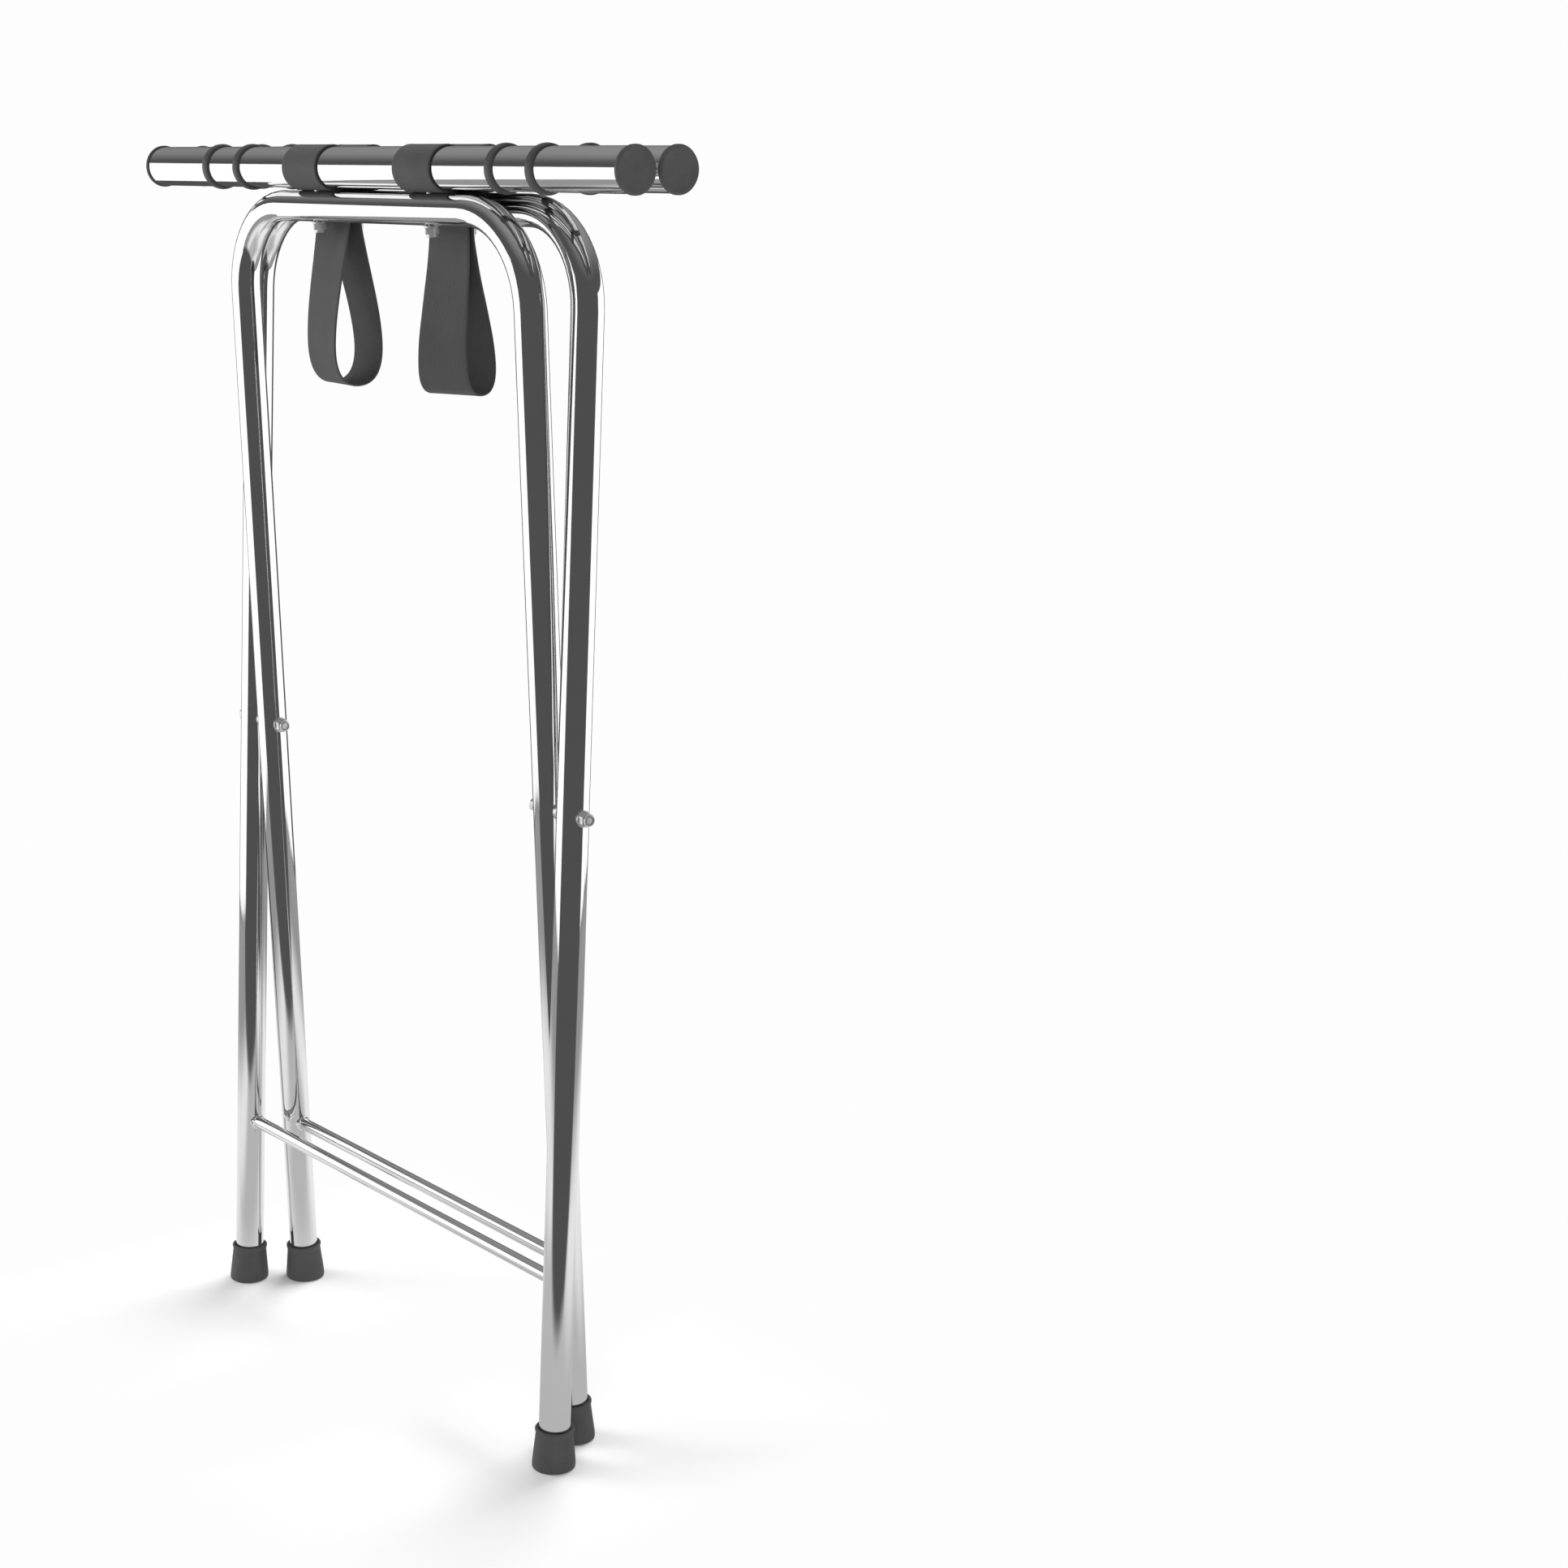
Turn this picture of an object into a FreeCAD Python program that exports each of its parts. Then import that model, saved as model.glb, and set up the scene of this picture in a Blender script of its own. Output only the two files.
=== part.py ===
import FreeCAD, Part
import math
import os
import Sketcher

# Folding valet stand: two inverted-U tube frames cross at a pair of pivot bolts.
# Each frame carries a thick rail along X, and two webbing straps join the rails.
# Millimetres. +X runs along the rails, +Y is the depth of the fold, +Z is up.
# The origin is on the floor, midway between the four feet, with the stand folded.
# The front frame's rail is at -Y and its feet at +Y; the rear frame is the reverse.

SIZES = {
    # overall
    "pivot_height": 397.0,      # floor to the pivot axis
    "rail_height": 366.0,       # pivot axis to the rail's axis, along the frame
    "rail_length": 508.0,
    "fold_gap": 0.6,            # between the two rails' rubber bands when folded
    # frame tube
    "tube_diameter": 19.05,
    "tube_wall": 1.2,
    "bend_radius": 55.0,        # centreline of the upper corners
    "front_leg_place": 154.4,   # leg axis from the middle, front (inner) frame
    "leg_gap": 3.2,             # between the two frames' legs at the pivot
    # rails
    "rail_diameter": 25.4,
    "rail_wall": 1.2,
    "cap_thickness": 3.2,
    "cap_rim": 0.8,             # how far the cap stands proud of the rail
    "cap_plug_length": 12.0,
    "ring_width": 6.4,
    "ring_height": 1.7,
    "ring_outer_place": 175.0,
    "ring_inner_place": 137.0,
    # cross rods
    "rod_diameter": 8.0,
    "rod_height": 115.0,        # floor to the rod's axis when folded
    "weld_size": 2.4,
    # feet
    "foot_height": 24.5,
    "foot_base_diameter": 26.4,
    "foot_top_diameter": 22.6,
    "foot_lip_diameter": 23.8,
    "foot_lip_height": 2.4,
    "foot_sole": 5.0,
    # webbing straps
    "web_width": 38.1,
    "web_thickness": 1.3,
    "strap_place": 61.0,        # strap's middle from the stand's middle
    "loop_radius_left": 15.5,   # round bottom of the left strap's hanging loop
    "loop_radius_right": 12.0,  # the right strap's loop hangs closer together
    "loop_depth": 110.7,        # frame tube's axis to the loop's lowest point
    "loop_shift": 3.0,          # the loops hang this far to the rear
    "strap_split": 0.3,         # clearance where the loop is divided
    # fasteners
    "bolt_diameter": 5.0,
    "round_head_diameter": 8.6,  # rail bolts, inside the rail
    "round_head_height": 3.0,
    "hex_head_height": 3.5,     # pivot bolts
    "nut_flats": 8.0,
    "nut_height": 3.8,
    "nut_collar_diameter": 7.2,
    "nut_collar_height": 1.8,
    "bolt_recess": 0.5,         # bolt's end inside the lock nut's collar
    "washer_diameter": 10.0,
    "washer_thickness": 1.0,
    # clearances
    "hole_clearance": 0.2,      # radial, a bolt in the pieces it clamps
    "pivot_clearance": 0.08,    # radial, the running fit on the pivot bolts
    "side_clearance": 0.3,      # washer to leg at the pivot
}

X_AXIS = FreeCAD.Vector(1, 0, 0)
Y_AXIS = FreeCAD.Vector(0, 1, 0)
Z_AXIS = FreeCAD.Vector(0, 0, 1)
ALONG_X = FreeCAD.Rotation(Y_AXIS, 90)
OVERRUN = 5.0                   # how far a cutting tool passes the piece it cuts

doc = FreeCAD.newDocument("valet_stand")
sheet = doc.addObject("Spreadsheet::Sheet", "Sizes")
for row, (alias, value) in enumerate(SIZES.items(), start=1):
    sheet.set(f"A{row}", alias)
    sheet.set(f"B{row}", str(value))
    sheet.setAlias(f"B{row}", alias)
doc.recompute()

# ---------------------------------------------------------------- derived places
tube_radius = sheet.tube_diameter / 2
rail_radius = sheet.rail_diameter / 2
wrap_radius = rail_radius + sheet.web_thickness
rear_leg_place = sheet.front_leg_place + sheet.tube_diameter + sheet.leg_gap
top_height = sheet.rail_height - wrap_radius - tube_radius
rail_spread = rail_radius + sheet.ring_height + sheet.fold_gap / 2
lean = math.asin(rail_spread / sheet.rail_height)
floor_reach = sheet.pivot_height / math.cos(lean)
bolt_hole_radius = sheet.bolt_diameter / 2 + sheet.hole_clearance
nut_stack = sheet.nut_height + sheet.nut_collar_height
rod_drop = (sheet.pivot_height - sheet.rod_height) / math.cos(lean)
PIVOT = FreeCAD.Vector(0, 0, sheet.pivot_height)


class Frame:
    """One of the two folding frames: its name, lean and the place of its legs."""

    def __init__(self, name, side, leg_place, leg_expression):
        self.name = name
        self.side = side                      # -1: the rail is at -Y, +1: at +Y
        self.leg_place = leg_place
        self.leg_expression = leg_expression
        turn = FreeCAD.Rotation(X_AXIS, -side * math.degrees(lean))
        self.placement = FreeCAD.Placement(PIVOT, turn)

    def at(self, x, y, height, rotation=FreeCAD.Rotation()):
        """Placement of a piece at a place measured from the pivot, in the frame's plane."""
        return self.placement * FreeCAD.Placement(FreeCAD.Vector(x, y, height), rotation)


REAR_LEG = "Sizes.front_leg_place + Sizes.tube_diameter + Sizes.leg_gap"
TOP_HEIGHT = "Sizes.rail_height - (Sizes.rail_diameter + Sizes.tube_diameter) / 2 - Sizes.web_thickness"
LEAN_SHARE = "((Sizes.rail_diameter + Sizes.fold_gap) / 2 + Sizes.ring_height) / Sizes.rail_height"
LEG_REACH = f"Sizes.pivot_height / sqrt(1 - ({LEAN_SHARE}) ^ 2) - Sizes.foot_sole"
BOLT_HOLE = "Sizes.bolt_diameter / 2 + Sizes.hole_clearance"
FRONT = Frame("front", -1, sheet.front_leg_place, "Sizes.front_leg_place")
REAR = Frame("rear", 1, rear_leg_place, REAR_LEG)
FRAMES = (FRONT, REAR)
SIDES = (("left", -1), ("right", 1))
sub_parts = []


# ---------------------------------------------------------------- shared helpers
def keep(piece, label):
    """Name a finished sub-part, which is written to its own file."""
    piece.Label = label
    sub_parts.append(piece)
    return piece


def bind(piece, **expressions):
    for name, expression in expressions.items():
        piece.setExpression(name, expression)


def origin_plane(body, role):
    return next(item for item in body.Origin.OriginFeatures if item.Role == role)


def new_sketch(body, name, role, offset=FreeCAD.Placement()):
    sketch = body.newObject("Sketcher::SketchObject", name)
    sketch.AttachmentSupport = [(origin_plane(body, role), "")]
    sketch.MapMode = "FlatFace"
    sketch.AttachmentOffset = offset
    return sketch


def add_dimension(sketch, expression, *definition):
    """A driving dimension of a sketch, bound to the sheet."""
    index = sketch.addConstraint(Sketcher.Constraint(*definition))
    sketch.setExpression(f"Constraints[{index}]", expression)


def add_circle(sketch, x, y, radius, expression):
    """A circle with a fixed centre and a radius bound to the sheet."""
    index = sketch.addGeometry(Part.Circle(FreeCAD.Vector(x, y, 0), Z_AXIS, radius))
    add_dimension(sketch, expression, "Radius", index, radius)


def add_outline(sketch, points):
    """Straight closed outline through a list of (x, y) points."""
    for start, end in zip(points, points[1:] + points[:1]):
        line = Part.LineSegment(FreeCAD.Vector(*start, 0), FreeCAD.Vector(*end, 0))
        sketch.addGeometry(line)
    count = len(points)
    for index in range(count):
        sketch.addConstraint(Sketcher.Constraint("Coincident", index, 2, (index + 1) % count, 1))


def add_pocket(body, sketch, name, length_expression=None):
    """Cut a sketch out of a body: both ways through it, or below the sketch by a length."""
    solid_before = body.Shape.Volume
    pocket = body.newObject("PartDesign::Pocket", name)
    pocket.Profile = sketch
    if length_expression is None:
        pocket.Type = "ThroughAll"
        pocket.Midplane = True
    else:
        pocket.Type = "Length"
        pocket.Reversed = False
        bind(pocket, Length=length_expression)
    doc.recompute()
    if body.Shape.Volume >= solid_before:
        raise RuntimeError(f"{name} cuts nothing")


def cylinder(name, radius, length, placement, **expressions):
    piece = doc.addObject("Part::Cylinder", name)
    piece.Radius = radius
    piece.Height = length
    piece.Placement = placement
    bind(piece, **expressions)
    return piece


def hexagon(name, flats, height, placement, **expressions):
    piece = doc.addObject("Part::Prism", name)
    piece.Polygon = 6
    piece.Circumradius = flats / math.sqrt(3)
    piece.Height = height
    piece.Placement = placement
    bind(piece, **expressions)
    return piece


def cut(base, tool, name):
    piece = doc.addObject("Part::Cut", name)
    piece.Base = base
    piece.Tool = tool
    return piece


def fuse(pieces, name):
    piece = doc.addObject("Part::MultiFuse", name)
    piece.Shapes = pieces
    return piece


def group(pieces, name):
    """Identical separate solids that share one node."""
    piece = doc.addObject("Part::Compound", name)
    piece.Links = pieces
    return piece


# ---------------------------------------------------------------- frame tubes
def constrain_frame_path(path, frame):
    """Tie the path's legs (0 and 2), top run (1) and corner arcs (3 and 4) together."""
    for first, first_end, second, second_end in ((0, 2, 3, 2), (3, 1, 1, 1),
                                                 (1, 2, 4, 2), (4, 1, 2, 1)):
        path.addConstraint(Sketcher.Constraint("Tangent", first, first_end, second, second_end))
    path.addConstraint(Sketcher.Constraint("Vertical", 0))
    path.addConstraint(Sketcher.Constraint("Equal", 3, 4))
    origin = (-1, 1)
    reach = floor_reach - sheet.foot_sole
    leg = frame.leg_place
    add_dimension(path, "Sizes.bend_radius", "Radius", 3, sheet.bend_radius)
    add_dimension(path, frame.leg_expression, "DistanceX", 0, 1, *origin, leg)
    add_dimension(path, frame.leg_expression, "DistanceX", *origin, 2, 2, leg)
    add_dimension(path, TOP_HEIGHT, "DistanceY", *origin, 1, 1, top_height)
    add_dimension(path, LEG_REACH, "DistanceY", 0, 1, *origin, reach)
    add_dimension(path, LEG_REACH, "DistanceY", 2, 2, *origin, reach)


def make_frame_tube(frame):
    """Bent tube: two legs, two corner arcs and the top run, hollow all the way."""
    body = doc.addObject("PartDesign::Body", f"{frame.name}_tube_body")
    leg = frame.leg_place
    bend = sheet.bend_radius
    foot_end = sheet.foot_sole - floor_reach
    path = new_sketch(body, f"{frame.name}_tube_path", "XZ_Plane")
    corner = top_height - bend
    straight = leg - bend
    lines = (
        ((-leg, foot_end), (-leg, corner)),
        ((-straight, top_height), (straight, top_height)),
        ((leg, corner), (leg, foot_end)),
    )
    for start, end in lines:
        path.addGeometry(Part.LineSegment(FreeCAD.Vector(*start, 0), FreeCAD.Vector(*end, 0)))
    for side, first, last in ((-1, math.pi / 2, math.pi), (1, 0, math.pi / 2)):
        circle = Part.Circle(FreeCAD.Vector(side * straight, corner, 0), Z_AXIS, bend)
        path.addGeometry(Part.ArcOfCircle(circle, first, last))
    constrain_frame_path(path, frame)
    tube = new_sketch(body, f"{frame.name}_tube_section", "XY_Plane",
                      FreeCAD.Placement(FreeCAD.Vector(0, 0, foot_end), FreeCAD.Rotation()))
    add_circle(tube, -leg, 0, tube_radius, "Sizes.tube_diameter / 2")
    add_circle(tube, -leg, 0, tube_radius - sheet.tube_wall,
               "Sizes.tube_diameter / 2 - Sizes.tube_wall")
    pipe = body.newObject("PartDesign::AdditivePipe", f"{frame.name}_tube_pipe")
    pipe.Profile = tube
    pipe.Spine = (path, ["Edge1", "Edge4", "Edge2", "Edge5", "Edge3"])
    doc.recompute()
    pivot = new_sketch(body, f"{frame.name}_pivot_bore", "YZ_Plane")
    add_circle(pivot, 0, 0, sheet.bolt_diameter / 2 + sheet.pivot_clearance,
               "Sizes.bolt_diameter / 2 + Sizes.pivot_clearance")
    add_pocket(body, pivot, f"{frame.name}_pivot_pocket")
    holes = new_sketch(body, f"{frame.name}_rail_bolt_holes", "XY_Plane")
    for _, side in SIDES:
        add_circle(holes, side * sheet.strap_place, 0, bolt_hole_radius, BOLT_HOLE)
    add_pocket(body, holes, f"{frame.name}_rail_bolt_pocket")
    body.Placement = frame.placement
    keep(body, f"{frame.name}_frame_tube")


# ---------------------------------------------------------------- cross rods
def make_cross_rod(frame):
    """Thin rod between the legs, with a weld bead at each end."""
    reach = frame.leg_place - tube_radius
    rod_radius = sheet.rod_diameter / 2
    rod = cylinder(f"{frame.name}_rod", rod_radius, 2 * reach,
                   frame.at(-reach, 0, -rod_drop, ALONG_X),
                   Radius="Sizes.rod_diameter / 2",
                   Height=f"2 * ({frame.leg_expression}) - Sizes.tube_diameter")
    keep(rod, f"{frame.name}_cross_rod")
    beads = []
    for label, side in SIDES:
        name = f"{frame.name}_{label}_bead"
        cone = doc.addObject("Part::Cone", f"{name}_cone")
        cone.Radius1 = rod_radius + 1.5 * sheet.weld_size
        cone.Radius2 = rod_radius
        cone.Height = 2 * sheet.weld_size
        start = side * (reach + sheet.weld_size / 2)
        inward = FreeCAD.Rotation(Y_AXIS, -side * 90)
        cone.Placement = frame.at(start, 0, -rod_drop, inward)
        bind(cone, Radius1="Sizes.rod_diameter / 2 + 1.5 * Sizes.weld_size",
             Radius2="Sizes.rod_diameter / 2", Height="2 * Sizes.weld_size")
        leg = cylinder(f"{name}_leg", tube_radius, 8 * sheet.rod_diameter,
                       frame.at(side * frame.leg_place, 0, -rod_drop - 4 * sheet.rod_diameter),
                       Radius="Sizes.tube_diameter / 2")
        core = cylinder(f"{name}_core", rod_radius, 2 * frame.leg_place,
                        frame.at(-frame.leg_place, 0, -rod_drop, ALONG_X),
                        Radius="Sizes.rod_diameter / 2")
        beads.append(cut(cut(cone, leg, f"{name}_seat"), core, name))
    keep(group(beads, f"{frame.name}_beads"), f"{frame.name}_weld_beads")


# ---------------------------------------------------------------- rails
def make_rail(frame):
    """Thick tube along X on top of the frame, with its two bolt holes underneath."""
    body = doc.addObject("PartDesign::Body", f"{frame.name}_rail_body")
    section = new_sketch(body, f"{frame.name}_rail_section", "YZ_Plane")
    add_circle(section, 0, 0, rail_radius, "Sizes.rail_diameter / 2")
    add_circle(section, 0, 0, rail_radius - sheet.rail_wall,
               "Sizes.rail_diameter / 2 - Sizes.rail_wall")
    pad = body.newObject("PartDesign::Pad", f"{frame.name}_rail_pad")
    pad.Profile = section
    pad.Midplane = True
    bind(pad, Length="Sizes.rail_length - 2 * Sizes.cap_thickness")
    doc.recompute()
    holes = new_sketch(body, f"{frame.name}_rail_holes", "XY_Plane")
    for _, side in SIDES:
        add_circle(holes, side * sheet.strap_place, 0, bolt_hole_radius, BOLT_HOLE)
    add_pocket(body, holes, f"{frame.name}_rail_pocket", "Sizes.rail_diameter")
    body.Placement = frame.at(0, 0, sheet.rail_height)
    keep(body, f"{frame.name}_rail")


def make_cap(frame, label, side):
    """Round end cap: a disc with a thin rim proud of the rail, and a plug inside it."""
    name = f"{frame.name}_rail_cap_{label}"
    body = doc.addObject("PartDesign::Body", f"{name}_body")
    disc_radius = rail_radius + sheet.cap_rim
    plug_radius = rail_radius - sheet.rail_wall
    thickness = sheet.cap_thickness
    bevel = sheet.cap_thickness / 4
    profile = new_sketch(body, f"{name}_profile", "XZ_Plane")
    add_outline(profile, [
        (-sheet.cap_plug_length, 0),
        (-sheet.cap_plug_length, plug_radius),
        (0, plug_radius),
        (0, disc_radius),
        (thickness - bevel, disc_radius),
        (thickness, disc_radius - bevel),
        (thickness, 0),
    ])
    turned = body.newObject("PartDesign::Revolution", f"{name}_turned")
    turned.Profile = profile
    turned.ReferenceAxis = (profile, ["H_Axis"])
    turned.Angle = 360
    end = sheet.rail_length / 2 - thickness
    outward = FreeCAD.Rotation(Z_AXIS, 0 if side > 0 else 180)
    body.Placement = frame.at(side * end, 0, sheet.rail_height, outward)
    keep(body, name)


def make_ring(frame, label, place):
    """Rubber band round the rail, with rounded outer edges."""
    name = f"{frame.name}_rail_ring_{label}"
    body = doc.addObject("PartDesign::Body", f"{name}_body")
    section = new_sketch(body, f"{name}_section", "YZ_Plane")
    add_circle(section, 0, 0, rail_radius, "Sizes.rail_diameter / 2")
    add_circle(section, 0, 0, rail_radius + sheet.ring_height,
               "Sizes.rail_diameter / 2 + Sizes.ring_height")
    pad = body.newObject("PartDesign::Pad", f"{name}_pad")
    pad.Profile = section
    pad.Midplane = True
    bind(pad, Length="Sizes.ring_width")
    doc.recompute()
    crown = rail_radius + sheet.ring_height
    outer = [f"Edge{index}" for index, edge in enumerate(pad.Shape.Edges, start=1)
             if isinstance(edge.Curve, Part.Circle) and abs(edge.Curve.Radius - crown) < 0.01]
    fillet = body.newObject("PartDesign::Fillet", f"{name}_round")
    fillet.Base = (pad, outer)
    bind(fillet, Radius="Sizes.ring_height * 0.6")
    body.Placement = frame.at(place, 0, sheet.rail_height)
    keep(body, name)


def make_rings(frame):
    places = (
        ("1", -sheet.ring_outer_place),
        ("2", -sheet.ring_inner_place),
        ("3", sheet.ring_inner_place),
        ("4", sheet.ring_outer_place),
    )
    for label, place in places:
        make_ring(frame, label, place)


# ---------------------------------------------------------------- feet
def make_foot(frame, label, side):
    """Tapered rubber foot with a lip and a socket for the leg, its base level with the floor."""
    name = f"{frame.name}_foot_{label}"
    body = doc.addObject("PartDesign::Body", f"{name}_body")
    base = sheet.foot_base_diameter / 2
    neck = sheet.foot_top_diameter / 2
    lip = sheet.foot_lip_diameter / 2
    lip_start = sheet.foot_height - sheet.foot_lip_height
    profile = new_sketch(body, f"{name}_profile", "XZ_Plane")
    add_outline(profile, [
        (0, -OVERRUN),
        (base, -OVERRUN),
        (base, 0),
        (neck, lip_start),
        (lip, lip_start),
        (lip, sheet.foot_height),
        (tube_radius, sheet.foot_height),
        (tube_radius, sheet.foot_sole),
        (0, sheet.foot_sole),
    ])
    turned = body.newObject("PartDesign::Revolution", f"{name}_turned")
    turned.Profile = profile
    turned.ReferenceAxis = (profile, ["V_Axis"])
    turned.Angle = 360
    body.Placement = frame.at(side * frame.leg_place, 0, -floor_reach)
    floor = doc.addObject("Part::Box", f"{name}_floor")
    span = 4 * sheet.foot_base_diameter
    floor.Length = span
    floor.Width = span
    floor.Height = span
    centre_y = -frame.side * sheet.pivot_height * math.tan(lean)
    floor.Placement.Base = FreeCAD.Vector(side * frame.leg_place - span / 2,
                                          centre_y - span / 2, -span)
    keep(cut(body, floor, f"{name}_cut"), name)


# ---------------------------------------------------------------- fasteners
def make_washer(name, thickness, thickness_expression, placement):
    """Flat washer standing on its placement."""
    disc = cylinder(f"{name}_disc", sheet.washer_diameter / 2, thickness, placement,
                    Radius="Sizes.washer_diameter / 2", Height=thickness_expression)
    bore = cylinder(f"{name}_bore", bolt_hole_radius, thickness, placement,
                    Radius=BOLT_HOLE, Height=thickness_expression)
    return cut(disc, bore, name)


def make_lock_nut(name, placement):
    """Hexagon nut with a round locking collar on its far side."""
    block = hexagon(f"{name}_block", sheet.nut_flats, sheet.nut_height, placement,
                    Circumradius="Sizes.nut_flats / sqrt(3)", Height="Sizes.nut_height")
    collar = cylinder(f"{name}_collar", sheet.nut_collar_diameter / 2, nut_stack, placement,
                      Radius="Sizes.nut_collar_diameter / 2",
                      Height="Sizes.nut_height + Sizes.nut_collar_height")
    thread = cylinder(f"{name}_thread", sheet.bolt_diameter / 2, nut_stack, placement,
                      Radius="Sizes.bolt_diameter / 2",
                      Height="Sizes.nut_height + Sizes.nut_collar_height")
    return cut(fuse([block, collar], f"{name}_outer"), thread, name)


def make_rail_fixings(frame):
    """Bolt from inside the rail down through the strap and frame tube, washer and nut below."""
    bolt_radius = sheet.bolt_diameter / 2
    inner = rail_radius - sheet.rail_wall
    head_radius = sheet.round_head_diameter / 2
    seat = sheet.rail_height - math.sqrt(inner ** 2 - head_radius ** 2) + sheet.hole_clearance
    nut_top = top_height - tube_radius - sheet.washer_thickness
    end = nut_top - nut_stack + sheet.bolt_recess
    upside_down = FreeCAD.Rotation(X_AXIS, 180)
    bolts = []
    washers = []
    nuts = []
    for label, side in SIDES:
        name = f"{frame.name}_{label}_rail"
        x = side * sheet.strap_place
        head = cylinder(f"{name}_bolt_head", head_radius, sheet.round_head_height,
                        frame.at(x, 0, seat), Radius="Sizes.round_head_diameter / 2",
                        Height="Sizes.round_head_height")
        shank = cylinder(f"{name}_bolt_shank", bolt_radius, seat - end, frame.at(x, 0, end),
                         Radius="Sizes.bolt_diameter / 2")
        bolts.append(fuse([head, shank], f"{name}_bolt"))
        washers.append(make_washer(f"{name}_washer", sheet.washer_thickness,
                                   "Sizes.washer_thickness", frame.at(x, 0, nut_top)))
        nuts.append(make_lock_nut(f"{name}_nut", frame.at(x, 0, nut_top, upside_down)))
    keep(group(bolts, f"{frame.name}_bolts"), f"{frame.name}_rail_bolts")
    keep(group(washers, f"{frame.name}_washers"), f"{frame.name}_rail_washers")
    keep(group(nuts, f"{frame.name}_nuts"), f"{frame.name}_rail_nuts")


def on_pivot(x):
    """Placement on the pivot axis, pointing along +X."""
    return FreeCAD.Placement(PIVOT + X_AXIS * x, ALONG_X)


def make_pivots():
    """Two pivot bolts through both frames' legs, each with head, washers, spacer and nut.

    Both bolts point along +X. A side clearance lies between each washer and its leg.
    """
    pair_inner = sheet.front_leg_place - tube_radius - sheet.side_clearance
    pair_outer = rear_leg_place + tube_radius + sheet.side_clearance
    spacer_place = sheet.front_leg_place + tube_radius + sheet.side_clearance
    spacer_width = sheet.leg_gap - 2 * sheet.side_clearance
    bolts = []
    washers = []
    nuts = []
    spacers = []
    for label, side in SIDES:
        name = f"pivot_{label}"
        first, last = (pair_inner, pair_outer) if side > 0 else (-pair_outer, -pair_inner)
        head_face = first - sheet.washer_thickness
        nut_face = last + sheet.washer_thickness
        tip = nut_face + nut_stack - sheet.bolt_recess
        head = hexagon(f"{name}_head", sheet.nut_flats, sheet.hex_head_height,
                       on_pivot(head_face - sheet.hex_head_height),
                       Circumradius="Sizes.nut_flats / sqrt(3)", Height="Sizes.hex_head_height")
        shank = cylinder(f"{name}_shank", sheet.bolt_diameter / 2, tip - head_face,
                         on_pivot(head_face), Radius="Sizes.bolt_diameter / 2")
        bolts.append(fuse([head, shank], f"{name}_bolt"))
        for end, place in (("head", head_face), ("nut", last)):
            washers.append(make_washer(f"{name}_{end}_washer", sheet.washer_thickness,
                                       "Sizes.washer_thickness", on_pivot(place)))
        nuts.append(make_lock_nut(f"{name}_nut", on_pivot(nut_face)))
        start = spacer_place if side > 0 else -spacer_place - spacer_width
        spacers.append(make_washer(f"{name}_spacer", spacer_width,
                                   "Sizes.leg_gap - 2 * Sizes.side_clearance", on_pivot(start)))
    keep(group(bolts, "pivot_bolt_pair"), "pivot_bolts")
    keep(group(washers, "pivot_washer_set"), "pivot_washers")
    keep(group(nuts, "pivot_nut_pair"), "pivot_nuts")
    keep(group(spacers, "pivot_spacer_pair"), "pivot_spacers")


# ---------------------------------------------------------------- straps
LOOP_RADIUS = {"left": sheet.loop_radius_left, "right": sheet.loop_radius_right}


def strap_route(frame, loop_radius):
    """Where the strap's centreline runs, in (y, z): over the frame tube, down, and round.

    It bends over the tube's top and inner side, drops in a straight line that crosses
    to the outer side of the loop's round bottom, and ends at the lowest point there.
    """
    tube = frame.at(0, 0, top_height).Base
    over_radius = tube_radius + sheet.web_thickness / 2
    centre_height = tube.z - sheet.loop_depth + loop_radius
    round_centre = FreeCAD.Vector(0, sheet.loop_shift, centre_height)
    gap = round_centre - tube
    distance = gap.Length
    heading = math.atan2(gap.z, gap.y)
    spread = math.acos((over_radius + loop_radius) / distance)
    leave = heading - frame.side * spread
    if frame.side > 0:
        leave += 2 * math.pi
    return tube, over_radius, round_centre, leave


def on_circle(centre, radius, angle):
    """Point (y, z) of a circle in the fold's plane."""
    return (centre.y + radius * math.cos(angle), centre.z + radius * math.sin(angle))


def add_band(sketch, centre, radius, first, last):
    """Part of a ring, one web thickness wide, between two angles."""
    half = sheet.web_thickness / 2
    circle_place = FreeCAD.Vector(centre.y, centre.z, 0)
    for edge_radius in (radius - half, radius + half):
        circle = Part.Circle(circle_place, Z_AXIS, edge_radius)
        sketch.addGeometry(Part.ArcOfCircle(circle, first, last))
    for angle in (first, last):
        inner = on_circle(centre, radius - half, angle)
        outer = on_circle(centre, radius + half, angle)
        sketch.addGeometry(Part.LineSegment(FreeCAD.Vector(*inner, 0),
                                            FreeCAD.Vector(*outer, 0)))


def pad_web(body, sketch, name):
    pad = body.newObject("PartDesign::Pad", name)
    pad.Profile = sketch
    pad.Midplane = True
    bind(pad, Length="Sizes.web_width")
    return pad


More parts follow.
